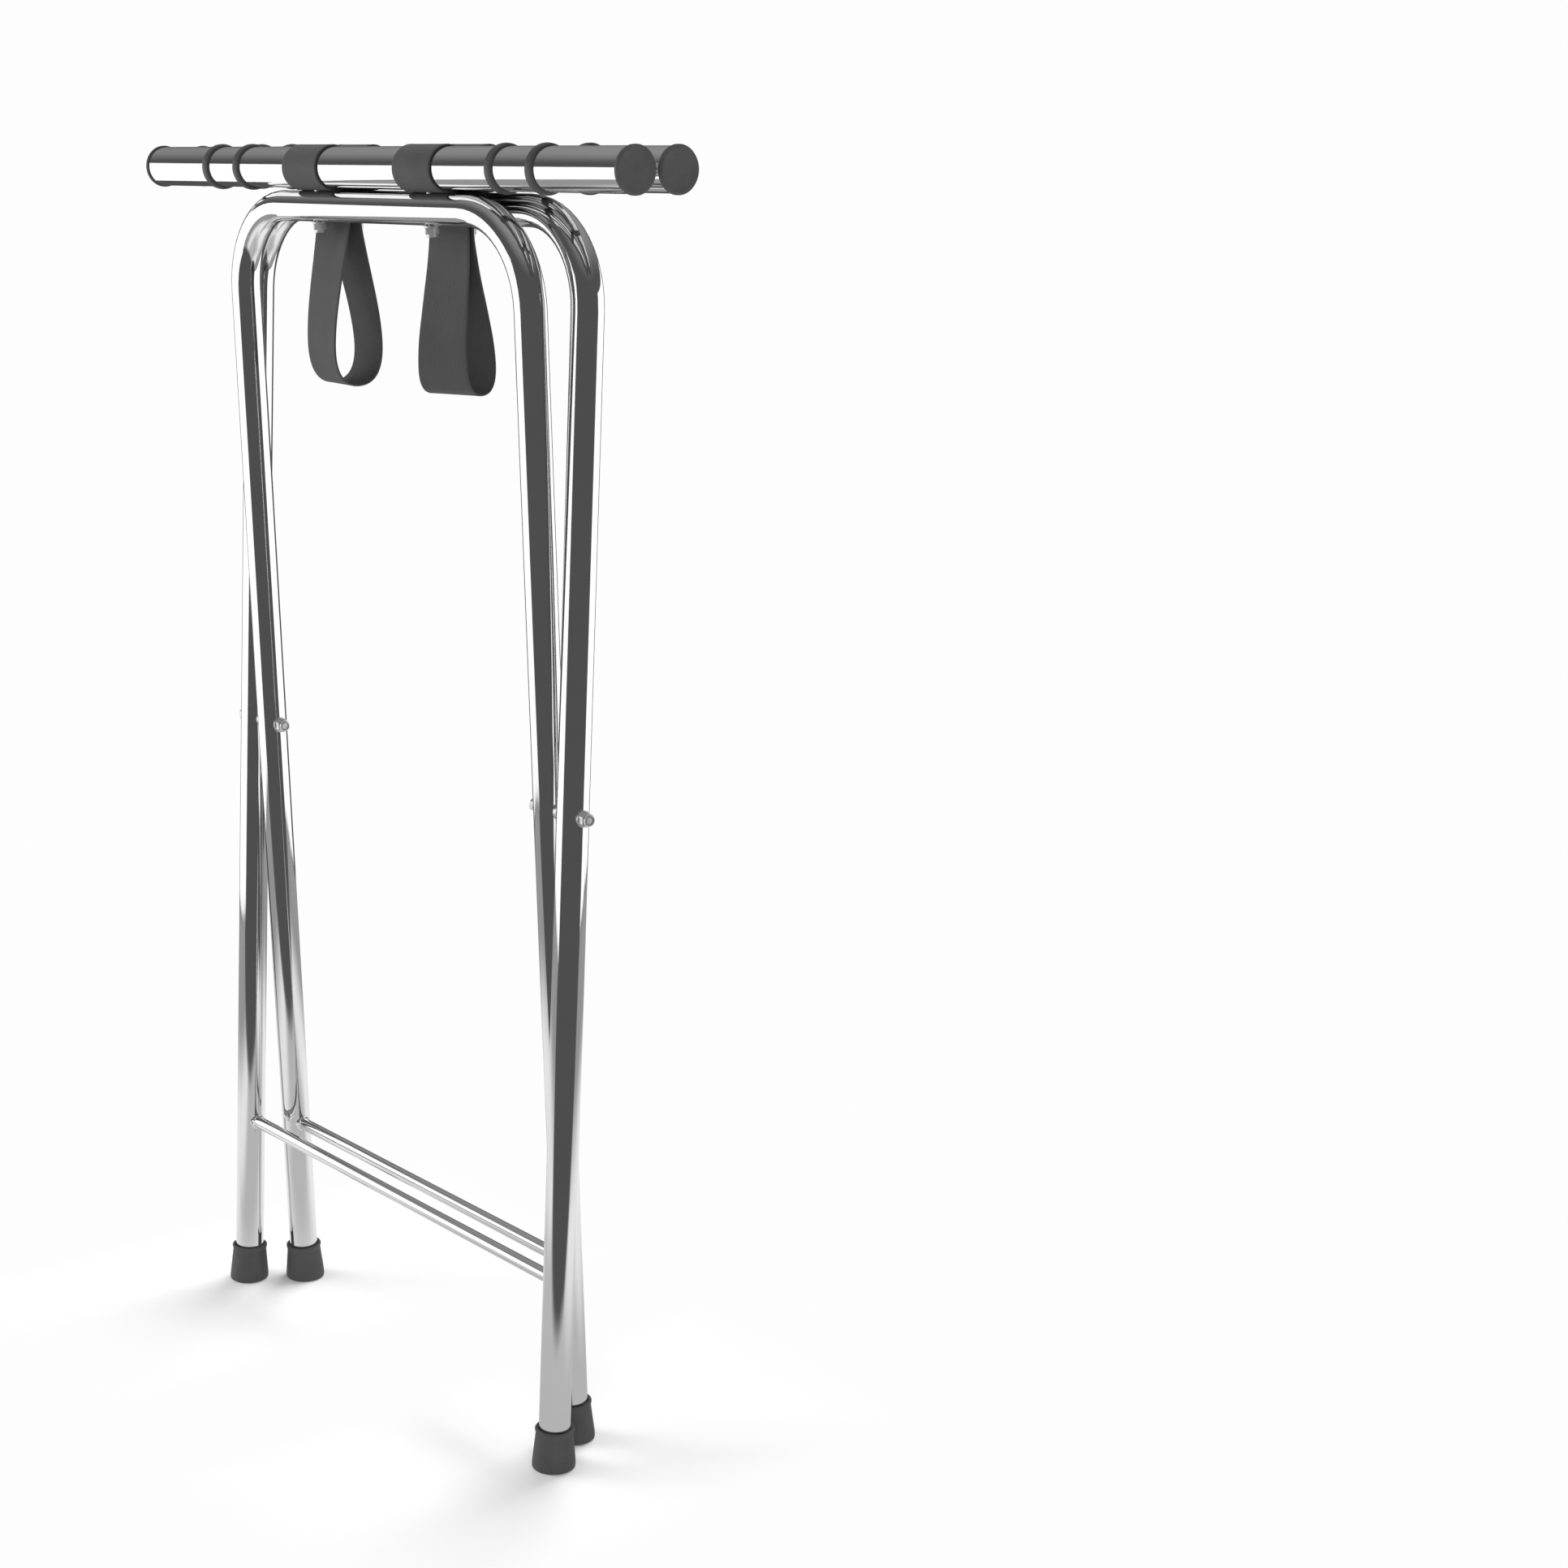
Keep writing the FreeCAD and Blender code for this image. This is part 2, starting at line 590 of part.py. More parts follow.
def make_strap_wrap(frame, label, side):
    """Webbing round the rail, pinched on the frame tube, with the run that hangs from it."""
    name = f"{frame.name}_strap_{label}"
    x = side * sheet.strap_place
    loop_radius = LOOP_RADIUS[label]
    tube, over_radius, round_centre, leave = strap_route(frame, loop_radius)
    rail = frame.at(0, 0, sheet.rail_height).Base
    half = sheet.web_thickness / 2
    body = doc.addObject("PartDesign::Body", f"{name}_wrap_body")
    ring = new_sketch(body, f"{name}_ring", "YZ_Plane")
    add_circle(ring, rail.y, rail.z, rail_radius, "Sizes.rail_diameter / 2")
    add_circle(ring, rail.y, rail.z, wrap_radius, "Sizes.rail_diameter / 2 + Sizes.web_thickness")
    pad_web(body, ring, f"{name}_ring_pad")
    body.Placement.Base = FreeCAD.Vector(x, 0, 0)

    over = doc.addObject("PartDesign::Body", f"{name}_over_body")
    bend = new_sketch(over, f"{name}_over", "YZ_Plane")
    top = math.pi / 2
    add_band(bend, tube, over_radius, min(top, leave), max(top, leave))
    pad_web(over, bend, f"{name}_over_pad")
    over.Placement.Base = FreeCAD.Vector(x, 0, 0)

    run = doc.addObject("PartDesign::Body", f"{name}_run_body")
    fall = new_sketch(run, f"{name}_fall", "YZ_Plane")
    arrive = leave - math.pi
    across = FreeCAD.Vector(0, math.cos(leave), math.sin(leave))
    start = FreeCAD.Vector(0, *on_circle(tube, over_radius, leave))
    end = FreeCAD.Vector(0, *on_circle(round_centre, loop_radius, arrive))
    down = (end - start).normalize()
    end = end - down * sheet.strap_split
    corners = (start - across * half, start + across * half,
               end + across * half, end - across * half)
    add_outline(fall, [(corner.y, corner.z) for corner in corners])
    pad_web(run, fall, f"{name}_fall_pad")
    run.Placement.Base = FreeCAD.Vector(x, 0, 0)

    joined = fuse([body, over, run], f"{name}_joined")
    solid_rail = cylinder(f"{name}_rail_core", rail_radius, 2 * sheet.web_width,
                          frame.at(x - sheet.web_width, 0, sheet.rail_height, ALONG_X),
                          Radius="Sizes.rail_diameter / 2", Height="2 * Sizes.web_width")
    solid_tube = cylinder(f"{name}_tube_core", tube_radius, 2 * sheet.web_width,
                          frame.at(x - sheet.web_width, 0, top_height, ALONG_X),
                          Radius="Sizes.tube_diameter / 2", Height="2 * Sizes.web_width")
    hole = cylinder(f"{name}_bolt_hole", bolt_hole_radius, wrap_radius + tube_radius,
                    frame.at(x, 0, top_height), Radius=BOLT_HOLE)
    off_rail = cut(joined, solid_rail, f"{name}_off_rail")
    off_tube = cut(off_rail, solid_tube, f"{name}_off_tube")
    keep(cut(off_tube, hole, f"{name}_holed"), name)


def make_strap_bottom(frame, label, side):
    """One half of the loop's round bottom, from the hanging run to the loop's middle."""
    name = f"{frame.name}_strap_bottom_{label}"
    loop_radius = LOOP_RADIUS[label]
    _, _, round_centre, leave = strap_route(frame, loop_radius)
    lowest = -math.pi / 2
    arrive = leave - math.pi
    trim = sheet.strap_split / 2 / loop_radius
    body = doc.addObject("PartDesign::Body", f"{name}_body")
    sketch = new_sketch(body, f"{name}_round", "YZ_Plane")
    if frame.side < 0:
        add_band(sketch, round_centre, loop_radius, arrive, lowest - trim)
    else:
        add_band(sketch, round_centre, loop_radius, lowest + trim, arrive)
    pad_web(body, sketch, f"{name}_pad")
    body.Placement.Base = FreeCAD.Vector(side * sheet.strap_place, 0, 0)
    keep(body, name)


# ---------------------------------------------------------------- assembly
for one in FRAMES:
    make_frame_tube(one)
    make_cross_rod(one)
    make_rail(one)
    make_rings(one)
    make_rail_fixings(one)
    for end_label, end_side in SIDES:
        make_cap(one, end_label, end_side)
        make_foot(one, end_label, end_side)
        make_strap_wrap(one, end_label, end_side)
        make_strap_bottom(one, end_label, end_side)
make_pivots()
doc.recompute()

for item in doc.Objects:
    if "Invalid" in item.State or "Error" in item.State:
        raise RuntimeError(f"{item.Label} failed to recompute")
os.makedirs("parts", exist_ok=True)
for piece in sub_parts:
    shape = piece.Shape
    if shape.isNull() or not shape.isValid():
        raise RuntimeError(f"{piece.Label} has no valid shape")
    shape.exportStep(os.path.join("parts", f"{piece.Label}.step"))
    print(f"{piece.Label}: {len(shape.Solids)} solid(s), {shape.Volume / 1000:.2f} cm3")
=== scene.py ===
import math

import bmesh
import bpy
from mathutils import Matrix, Vector, noise


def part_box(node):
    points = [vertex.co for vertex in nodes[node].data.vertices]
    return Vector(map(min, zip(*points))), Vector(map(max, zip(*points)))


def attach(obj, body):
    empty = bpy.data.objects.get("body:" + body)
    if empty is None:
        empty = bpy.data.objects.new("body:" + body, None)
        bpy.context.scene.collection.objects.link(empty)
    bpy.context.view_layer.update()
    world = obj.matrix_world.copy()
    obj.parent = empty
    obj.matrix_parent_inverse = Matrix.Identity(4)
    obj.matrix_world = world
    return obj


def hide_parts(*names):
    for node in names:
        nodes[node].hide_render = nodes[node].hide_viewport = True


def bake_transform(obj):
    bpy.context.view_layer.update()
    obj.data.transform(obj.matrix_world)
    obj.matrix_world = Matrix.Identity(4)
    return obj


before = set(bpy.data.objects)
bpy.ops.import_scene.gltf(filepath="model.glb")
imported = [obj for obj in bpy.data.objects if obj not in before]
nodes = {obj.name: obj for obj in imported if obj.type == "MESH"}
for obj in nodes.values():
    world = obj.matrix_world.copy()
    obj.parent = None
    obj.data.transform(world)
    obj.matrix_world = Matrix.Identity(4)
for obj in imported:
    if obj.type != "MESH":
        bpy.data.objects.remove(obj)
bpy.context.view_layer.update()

# Folding valet stand: chromed crossed frames, two rails with rubber bands, webbing straps.
# Metres, in the CAD frame. +X runs along the rails, +Y is the depth of the fold, +Z is up.

# ---------------------------------------------------------------- camera
AIM = Vector((0.0847, 0.1068, 0.463))
CAMERA_PLACE = Vector((1.3794, -0.9167, 0.7712))
camera_data = bpy.data.cameras.new("photo_camera")
camera_data.sensor_width = 36.0
camera_data.lens = 62.12
camera_data.shift_x = 0.105
camera_data.shift_y = -0.080
camera_data.clip_start = 0.02
camera = bpy.data.objects.new("photo_camera", camera_data)
camera.location = CAMERA_PLACE
camera.rotation_euler = (AIM - CAMERA_PLACE).to_track_quat("-Z", "Y").to_euler()
bpy.context.scene.collection.objects.link(camera)
bpy.context.scene.camera = camera


# ---------------------------------------------------------------- places from the frame
def middle(node):
    low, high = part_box(node)
    return (low + high) / 2


PIVOT = middle("pivot_bolts")
TUBE_RADIUS = 0.009525          # of the frame tubes
RAIL_LOW, RAIL_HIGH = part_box("front_rail")
RAIL_RADIUS = (RAIL_HIGH.z - RAIL_LOW.z) / 2
STRAP_LOW, STRAP_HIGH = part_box("front_strap_left")
WEB_WIDTH = STRAP_HIGH.x - STRAP_LOW.x
WEB_THICKNESS = STRAP_HIGH.z - RAIL_HIGH.z
SIDES = (("left", -1), ("right", 1))


class Frame:
    """One folding frame: its rail's axis, the line of its plane and its legs' places."""

    def __init__(self, name, side):
        self.name = name
        self.side = side
        self.body = f"{name}_frame"
        self.rail = middle(f"{name}_rail")
        self.up = (Vector((0, self.rail.y, self.rail.z)) - Vector((0, 0, PIVOT.z))).normalized()
        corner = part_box(f"{name}_frame_tube")[1]
        self.leg_x = corner.x - TUBE_RADIUS
        self.top = self.on_plane((corner.z - TUBE_RADIUS - PIVOT.z) / self.up.z)

    def on_plane(self, along):
        """Place at a distance along the frame from the pivot axis."""
        return Vector((0, 0, PIVOT.z)) + self.up * along


FRAMES = (Frame("front", -1), Frame("rear", 1))


# ---------------------------------------------------------------- material helpers
def empty_material(name):
    material = bpy.data.materials.new(name)
    material.use_nodes = True
    tree = material.node_tree
    tree.nodes.clear()
    return material, tree


def show(tree, shader, output_kind="ShaderNodeOutputMaterial"):
    """Link a shader to the tree's output."""
    output = tree.nodes.new(output_kind)
    tree.links.new(shader.outputs[0], output.inputs["Surface"])


def new_material(name):
    material, tree = empty_material(name)
    shader = tree.nodes.new("ShaderNodeBsdfPrincipled")
    show(tree, shader)
    return material, tree, shader


def add_node(tree, kind, values=None, **links):
    """A node with some input values set and some inputs linked."""
    node = tree.nodes.new(kind)
    for socket, value in (values or {}).items():
        node.inputs[socket].default_value = value
    for socket, source in links.items():
        tree.links.new(source, node.inputs[socket.replace("_", " ")])
    return node


def math_node(tree, operation, first, second=None):
    node = tree.nodes.new("ShaderNodeMath")
    node.operation = operation
    for index, value in enumerate((first, second)):
        if value is None:
            continue
        if isinstance(value, (int, float)):
            node.inputs[index].default_value = value
        else:
            tree.links.new(value, node.inputs[index])
    return node.outputs["Value"]


def mixture(tree, *terms):
    """Sum of values, each times its share; terms are (value, share)."""
    total = None
    for value, share in terms:
        part = math_node(tree, "MULTIPLY", value, share)
        total = part if total is None else math_node(tree, "ADD", total, part)
    return total


def stretched_noise(tree, coordinates, scale, detail=3.0, stretch=(1, 1, 1), roughness=0.5):
    mapping = add_node(tree, "ShaderNodeMapping", {"Scale": stretch}, Vector=coordinates)
    noise_node = add_node(tree, "ShaderNodeTexNoise",
                          {"Scale": scale, "Detail": detail, "Roughness": roughness},
                          Vector=mapping.outputs["Vector"])
    return noise_node.outputs["Fac"]


def remap(tree, value, low, high, start=0.3, end=0.7, interpolation="LINEAR"):
    """Value taken from the range start to end into the range low to high."""
    node = add_node(tree, "ShaderNodeMapRange",
                    {"From Min": start, "From Max": end, "To Min": low, "To Max": high}, Value=value)
    node.interpolation_type = interpolation
    return node.outputs["Result"]


def blend_colours(tree, factor, first, second):
    node = tree.nodes.new("ShaderNodeMix")
    node.data_type = "RGBA"
    tree.links.new(factor, node.inputs["Factor"])
    node.inputs["A"].default_value = (*first, 1)
    node.inputs["B"].default_value = (*second, 1)
    return node.outputs["Result"]


def add_bump(tree, shader, heights):
    """Chain of bumps into the shader: (height, strength, distance in metres)."""
    normal = None
    for height, strength, distance in heights:
        bump = add_node(tree, "ShaderNodeBump", {"Strength": strength, "Distance": distance},
                        Height=height)
        if normal is not None:
            tree.links.new(normal, bump.inputs["Normal"])
        normal = bump.outputs["Normal"]
    tree.links.new(normal, shader.inputs["Normal"])


def object_coordinates(tree):
    return tree.nodes.new("ShaderNodeTexCoord").outputs["Object"]


# ---------------------------------------------------------------- materials
CHROME_LIGHT = (0.88, 0.88, 0.88)
CHROME_DULL = (0.82, 0.82, 0.82)
ALONG_RAIL = (0.04, 1, 1)       # stretch that draws the polishing lines along X
ALONG_LEG = (1, 1, 0.04)        # along Z


def make_chrome(name, stretch):
    """Polished chrome plate: faint polishing lines, smudges, and a slight tube waviness."""
    material, tree, shader = new_material(name)
    place = object_coordinates(tree)
    smudge = stretched_noise(tree, place, scale=14, detail=5, roughness=0.6)
    specks = stretched_noise(tree, place, scale=900, detail=2)
    lines = stretched_noise(tree, place, scale=260, detail=4, stretch=stretch)
    wave = stretched_noise(tree, place, scale=9, detail=1)
    tree.links.new(blend_colours(tree, remap(tree, smudge, 0, 1), CHROME_LIGHT, CHROME_DULL),
                   shader.inputs["Base Color"])
    gloss = math_node(tree, "ADD", remap(tree, smudge, low=0.05, high=0.09),
                      remap(tree, specks, low=0, high=0.03, start=0.6, end=0.8))
    tree.links.new(gloss, shader.inputs["Roughness"])
    shader.inputs["Metallic"].default_value = 1.0
    add_bump(tree, shader, ((wave, 0.12, 0.0006), (lines, 0.06, 0.0002)))
    return material


PLATING_METALLIC = 0.85         # pale zinc plating also scatters light


def make_steel(name, light, dark, roughness):
    """Zinc-plated fastener steel: fine grain, darker patches and a satin gloss."""
    material, tree, shader = new_material(name)
    place = object_coordinates(tree)
    patches = stretched_noise(tree, place, scale=160, detail=4, roughness=0.65)
    grain = stretched_noise(tree, place, scale=1800, detail=3)
    tree.links.new(blend_colours(tree, remap(tree, patches, 0, 1), light, dark),
                   shader.inputs["Base Color"])
    tree.links.new(remap(tree, patches, roughness, roughness + 0.14), shader.inputs["Roughness"])
    shader.inputs["Metallic"].default_value = PLATING_METALLIC
    add_bump(tree, shader, ((grain, 0.10, 0.00008),))
    return material


def make_rubber(name, base, worn, speckle_scale, roughness):
    """Moulded rubber: fine speckle, a dusty bloom in patches, and a soft sheen."""
    material, tree, shader = new_material(name)
    place = object_coordinates(tree)
    bloom = stretched_noise(tree, place, scale=70, detail=5, roughness=0.65)
    speckle = stretched_noise(tree, place, scale=speckle_scale, detail=3, roughness=0.7)
    cloudy = mixture(tree, (bloom, 0.55), (speckle, 0.45))
    wear = remap(tree, cloudy, 0, 1, start=0.35, end=0.68)
    tree.links.new(blend_colours(tree, wear, base, worn), shader.inputs["Base Color"])
    tree.links.new(remap(tree, speckle, roughness, roughness + 0.16), shader.inputs["Roughness"])
    shader.inputs["Specular IOR Level"].default_value = 0.45
    add_bump(tree, shader, ((bloom, 0.15, 0.0004), (speckle, 0.35, 0.00012)))
    return material


RIB_PITCH = 0.0016              # of the webbing's ribs, across it
PICK_PITCH = 0.0011             # of its cross yarns, along it
WEB_DARK = (0.044, 0.044, 0.044)
WEB_LIGHT = (0.074, 0.074, 0.075)


def sine_wave(tree, place, pitch):
    return math_node(tree, "SINE", math_node(tree, "MULTIPLY", place, 2 * math.pi / pitch))


def make_webbing():
    """Flat woven webbing: rows of yarns across and along, in metres of the strap's own length."""
    material, tree, shader = new_material("webbing")
    place = add_node(tree, "ShaderNodeUVMap").outputs["UV"]
    place.node.uv_map = "strap"
    split = add_node(tree, "ShaderNodeSeparateXYZ", Vector=place)
    across = split.outputs["X"]
    along = split.outputs["Y"]
    weave = math_node(tree, "MULTIPLY", sine_wave(tree, across, RIB_PITCH),
                      sine_wave(tree, along, PICK_PITCH))
    ribs = math_node(tree, "ABSOLUTE", sine_wave(tree, across, 2 * RIB_PITCH))
    height = mixture(tree, (weave, 0.25), (ribs, 1.0))
    place_3d = object_coordinates(tree)
    fuzz = stretched_noise(tree, place_3d, scale=1500, detail=3, roughness=0.7)
    patches = stretched_noise(tree, place_3d, scale=45, detail=4)
    tone = mixture(tree, (fuzz, 0.5), (patches, 0.3), (weave, 0.1))
    paleness = remap(tree, tone, 0, 1, start=0.25, end=0.6)
    tree.links.new(blend_colours(tree, paleness, WEB_DARK, WEB_LIGHT), shader.inputs["Base Color"])
    tree.links.new(remap(tree, fuzz, 0.62, 0.85), shader.inputs["Roughness"])
    shader.inputs["Specular IOR Level"].default_value = 0.3
    shader.inputs["Sheen Weight"].default_value = 0.06
    shader.inputs["Sheen Roughness"].default_value = 0.45
    add_bump(tree, shader, ((height, 0.45, 0.00018), (fuzz, 0.25, 0.0001)))
    return material


chrome_frame = make_chrome("frame_chrome", ALONG_LEG)
chrome_rail = make_chrome("rail_chrome", ALONG_RAIL)
steel = make_steel("fastener_steel", light=(0.86, 0.86, 0.87), dark=(0.64, 0.64, 0.65),
                   roughness=0.24)
cap_plastic = make_rubber("cap_plastic", base=(0.052, 0.052, 0.053), worn=(0.078, 0.078, 0.079),
                          speckle_scale=1500, roughness=0.52)
ring_rubber = make_rubber("ring_rubber", base=(0.045, 0.045, 0.046), worn=(0.062, 0.062, 0.063),
                          speckle_scale=1300, roughness=0.42)
foot_rubber = make_rubber("foot_rubber", base=(0.058, 0.058, 0.059), worn=(0.080, 0.080, 0.081),
                          speckle_scale=1100, roughness=0.55)
webbing = make_webbing()


# ---------------------------------------------------------------- mesh helpers
def new_piece(name, mesh, material):
    piece = bpy.data.objects.new(name, mesh)
    bpy.context.scene.collection.objects.link(piece)
    mesh.materials.append(material)
    return piece


def close_loop(first, second):
    """Faces between two rings of vertex numbers."""
    count = len(first)
    return [(first[i], first[(i + 1) % count], second[(i + 1) % count], second[i])
            for i in range(count)]


def skin(rings, joined_ends):
    """Faces along a row of rings, whose ends are joined to each other or closed one by one."""
    faces = []
    following = rings[1:] + rings[:1] if joined_ends else rings[1:]
    for first, second in zip(rings, following):
        faces += close_loop(first, second)
    if not joined_ends:
        faces += [tuple(rings[0]), tuple(reversed(rings[-1]))]
    return faces


def mesh_from(name, points, faces, sharp_angle):
    """Smooth mesh with sharp edges where faces meet at more than an angle in degrees."""
    mesh = bpy.data.meshes.new(name)
    mesh.from_pydata(points, [], faces)
    mesh.validate()
    tidy = bmesh.new()
    tidy.from_mesh(mesh)
    bmesh.ops.recalc_face_normals(tidy, faces=tidy.faces)
    for face in tidy.faces:
        face.smooth = True
    for edge in tidy.edges:
        if len(edge.link_faces) == 2 and edge.calc_face_angle() > math.radians(sharp_angle):
            edge.smooth = False
    tidy.to_mesh(mesh)
    tidy.free()
    return mesh


def riding_piece(name, points, faces, material, body, replaced, sharp_angle):
    """A piece that rides on a body in place of a CAD node."""
    piece = new_piece(name, mesh_from(name, points, faces, sharp_angle), material)
    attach(piece, body)
    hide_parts(replaced)


def lathe(profile, place, steps, shape=None):
    """Points and faces of a closed profile of (radius, height) turned about the place's Z.

    shape(index, angle, radius, height) may return another radius and height for a point.
    """
    points = []
    rings = []
    for index, (radius, height) in enumerate(profile):
        ring = []
        for step in range(steps):
            angle = 2 * math.pi * step / steps
            here, up = shape(index, angle, radius, height) if shape else (radius, height)
            ring.append(len(points))
            points.append(place @ Vector((here * math.cos(angle), here * math.sin(angle), up)))
        rings.append(ring)
    return points, skin(rings, joined_ends=True)


def merge(parts):
    """One set of points and faces from several."""
    points = []
    faces = []
    for part_points, part_faces in parts:
        start = len(points)
        points += part_points
        faces += [tuple(index + start for index in face) for face in part_faces]
    return points, faces


ROUNDING_LIMIT = 0.48           # share of an edge that one rounded corner may take
NO_SIZE = 1e-6


def rounded(corners, rounding, steps=5):
    """Profile with each listed corner rounded; corners are (radius, height, rounding share)."""
    result = []
    count = len(corners)
    for index, (radius, height, share) in enumerate(corners):
        here = Vector((radius, height))
        before = Vector(corners[index - 1][:2]) - here
        after = Vector(corners[(index + 1) % count][:2]) - here
        size = min(rounding * share, before.length * ROUNDING_LIMIT, after.length * ROUNDING_LIMIT)
        if size < NO_SIZE:
            result.append((radius, height))
            continue
        start = here + before.normalized() * size
        end = here + after.normalized() * size
        for step in range(steps + 1):
            t = step / steps
            point = start * (1 - t) ** 2 + here * 2 * t * (1 - t) + end * t ** 2
            result.append((point.x, point.y))
    return result


def axis_place(origin, direction):
    """Matrix whose Z follows a direction."""
    return Matrix.Translation(origin) @ direction.to_track_quat("Z", "Y").to_matrix().to_4x4()


# ---------------------------------------------------------------- webbing straps
STRAP_STEP = 0.0016             # spacing of the strap's rows along its length
STRAP_COLUMNS = 18              # across one face
LEAVE_ANGLE = math.radians(20)  # the webbing leaves the tube this far above its inner face
REAR_FULLER = 0.06              # share by which the loops belly out more to the rear
END_GAP = 0.30                  # angle from the clamp to the webbing's end, round the rail
FALL_STEPS = 80                 # of the curve that a hanging half follows
MIDDLE_SHARE = 0.86             # the webbing's thickness in its middle, as a share of that at its edges
EDGE_STEPS = 6                  # round a selvedge
EDGE_DRIFT = 0.0002             # how far the webbing wanders to a side


class Loop:
    """How one strap hangs.

    The pulls shape its curve, and lift and turn place and twist its lowest part. The give numbers, for
    a place inward of and above the tube's axis and a line that slopes down to the seam, are not used.
    """

    def __init__(self, top_pull, bottom_pull, lift, turn, give_inward, give_above, give_slope):
        self.top_pull = top_pull
        self.bottom_pull = bottom_pull
        self.lift = lift
        self.turn = math.radians(turn)
        self.give_inward = give_inward
        self.give_above = give_above
        self.give_slope = math.radians(give_slope)


LOOPS = {
    "left": Loop(0.0193, 0.0382, 0.0009, -8.0, 0.0122, 0.0180, 52.6),
    "right": Loop(0.0350, 0.0300, 0.0027, 16.5, 0.0076, 0.0047, 43.2),
}


def arc(centre, radius, first, last):
    """Points (y, z) along an arc, ends included."""
    count = max(2, math.ceil(abs(last - first) * radius / STRAP_STEP))
    return [centre + Vector((math.cos(angle), math.sin(angle))) * radius
            for angle in [first + (last - first) * step / count for step in range(count + 1)]]


def evenly(points, spacing):
    """The same line with points at even spacing."""
    length = sum((b - a).length for a, b in zip(points, points[1:]))
    count = max(2, round(length / spacing))
    result = [points[0]]
    walked = 0.0
    target = length / count
    for a, b in zip(points, points[1:]):
        run = (b - a).length
        while run > 0 and walked + run >= target - 1e-9 and len(result) < count:
            result.append(a.lerp(b, (target - walked) / run))
            target += length / count
        walked += run
    return result + [points[-1]]


def seam_place(label):
    """Lowest middle point (y, z) of a loop, where its front and rear halves meet."""
    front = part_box(f"front_strap_bottom_{label}")
    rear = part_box(f"rear_strap_bottom_{label}")
    low = min(front[0].z, rear[0].z) + WEB_THICKNESS / 2
    return Vector(((front[1].y + rear[0].y) / 2, low + LOOPS[label].lift))


def strap_line(one, label):
    """The strap's middle line in (y, z): round the rail, over the tube, down to the seam."""
    loop = LOOPS[label]
    half = WEB_THICKNESS / 2
    seam = seam_place(label)
    clamp = -math.pi / 2
    turn = -one.side            # +1: the line runs counter-clockwise round the rail
    ring = arc(Vector((one.rail.y, one.rail.z)), RAIL_RADIUS + half,
               clamp + turn * END_GAP, clamp + turn * 2 * math.pi)
    leave = math.pi / 2 + one.side * (math.pi / 2 - LEAVE_ANGLE)
    run_over = arc(Vector((one.top.y, one.top.z)), TUBE_RADIUS + half, math.pi / 2, leave)
    heading = Vector((turn * math.sin(LEAVE_ANGLE), -math.cos(LEAVE_ANGLE)))
    belly = one.side * loop.bottom_pull * (1 + REAR_FULLER * one.side)
    pulls = (run_over[-1], run_over[-1] + heading * loop.top_pull, seam + Vector((belly, 0)), seam)
    fall = []
    for step in range(1, FALL_STEPS + 1):
        t = step / FALL_STEPS
        shares = ((1 - t) ** 3, 3 * (1 - t) ** 2 * t, 3 * (1 - t) * t ** 2, t ** 3)
        fall.append(sum((pull * share for pull, share in zip(pulls, shares)), Vector((0, 0))))
    return ring[:-1] + evenly(run_over + fall, STRAP_STEP)


def strap_section():
    """Closed cross-section (x, out) of the webbing, with rounded selvedges."""
    half = WEB_THICKNESS / 2
    flat = WEB_WIDTH / 2 - half
    face = [-flat + 2 * flat * step / STRAP_COLUMNS for step in range(STRAP_COLUMNS + 1)]
    selvedge = [math.pi / 2 - math.pi * step / EDGE_STEPS for step in range(1, EDGE_STEPS)]
    upper = [(x, half * (MIDDLE_SHARE + (1 - MIDDLE_SHARE) * abs(x / flat) ** 6)) for x in face]
    outline = list(upper)
    outline += [(flat + half * math.cos(a), half * math.sin(a)) for a in selvedge]
    outline += [(x, -lift) for x, lift in reversed(upper)]
    outline += [(-flat - half * math.cos(a), -half * math.sin(a)) for a in selvedge]
    return outline


TONGUE_ROWS = 3                 # the front half reaches this far into the rear half at the seam
TONGUE_THICKNESS = 0.55
SIDE_SWING = 0.6                # share of the twist that swings the halves sideways


def strap_rows(one, label):
    """Rows of the strap half: place, tangent, length so far and thickness share."""
    line = strap_line(one, label)
    seam = seam_place(label).x
    shares = [1.0] * len(line)
    if one.side < 0:
        line += [Vector((2 * seam - point.x, point.y)) for point in reversed(line[-1 - TONGUE_ROWS:-1])]
        shares += [TONGUE_THICKNESS] * TONGUE_ROWS
    length = 0.0
    rows = []
    for index, here in enumerate(line):
        before = line[max(0, index - 1)]
        after = line[min(len(line) - 1, index + 1)]
        tangent = (after - before).normalized()
        if index == len(shares) - 1 and one.side > 0:
            tangent = Vector((-1, 0))
        if index:
            length += (here - before).length
        rows.append((here, tangent, length, shares[index]))
    return rows


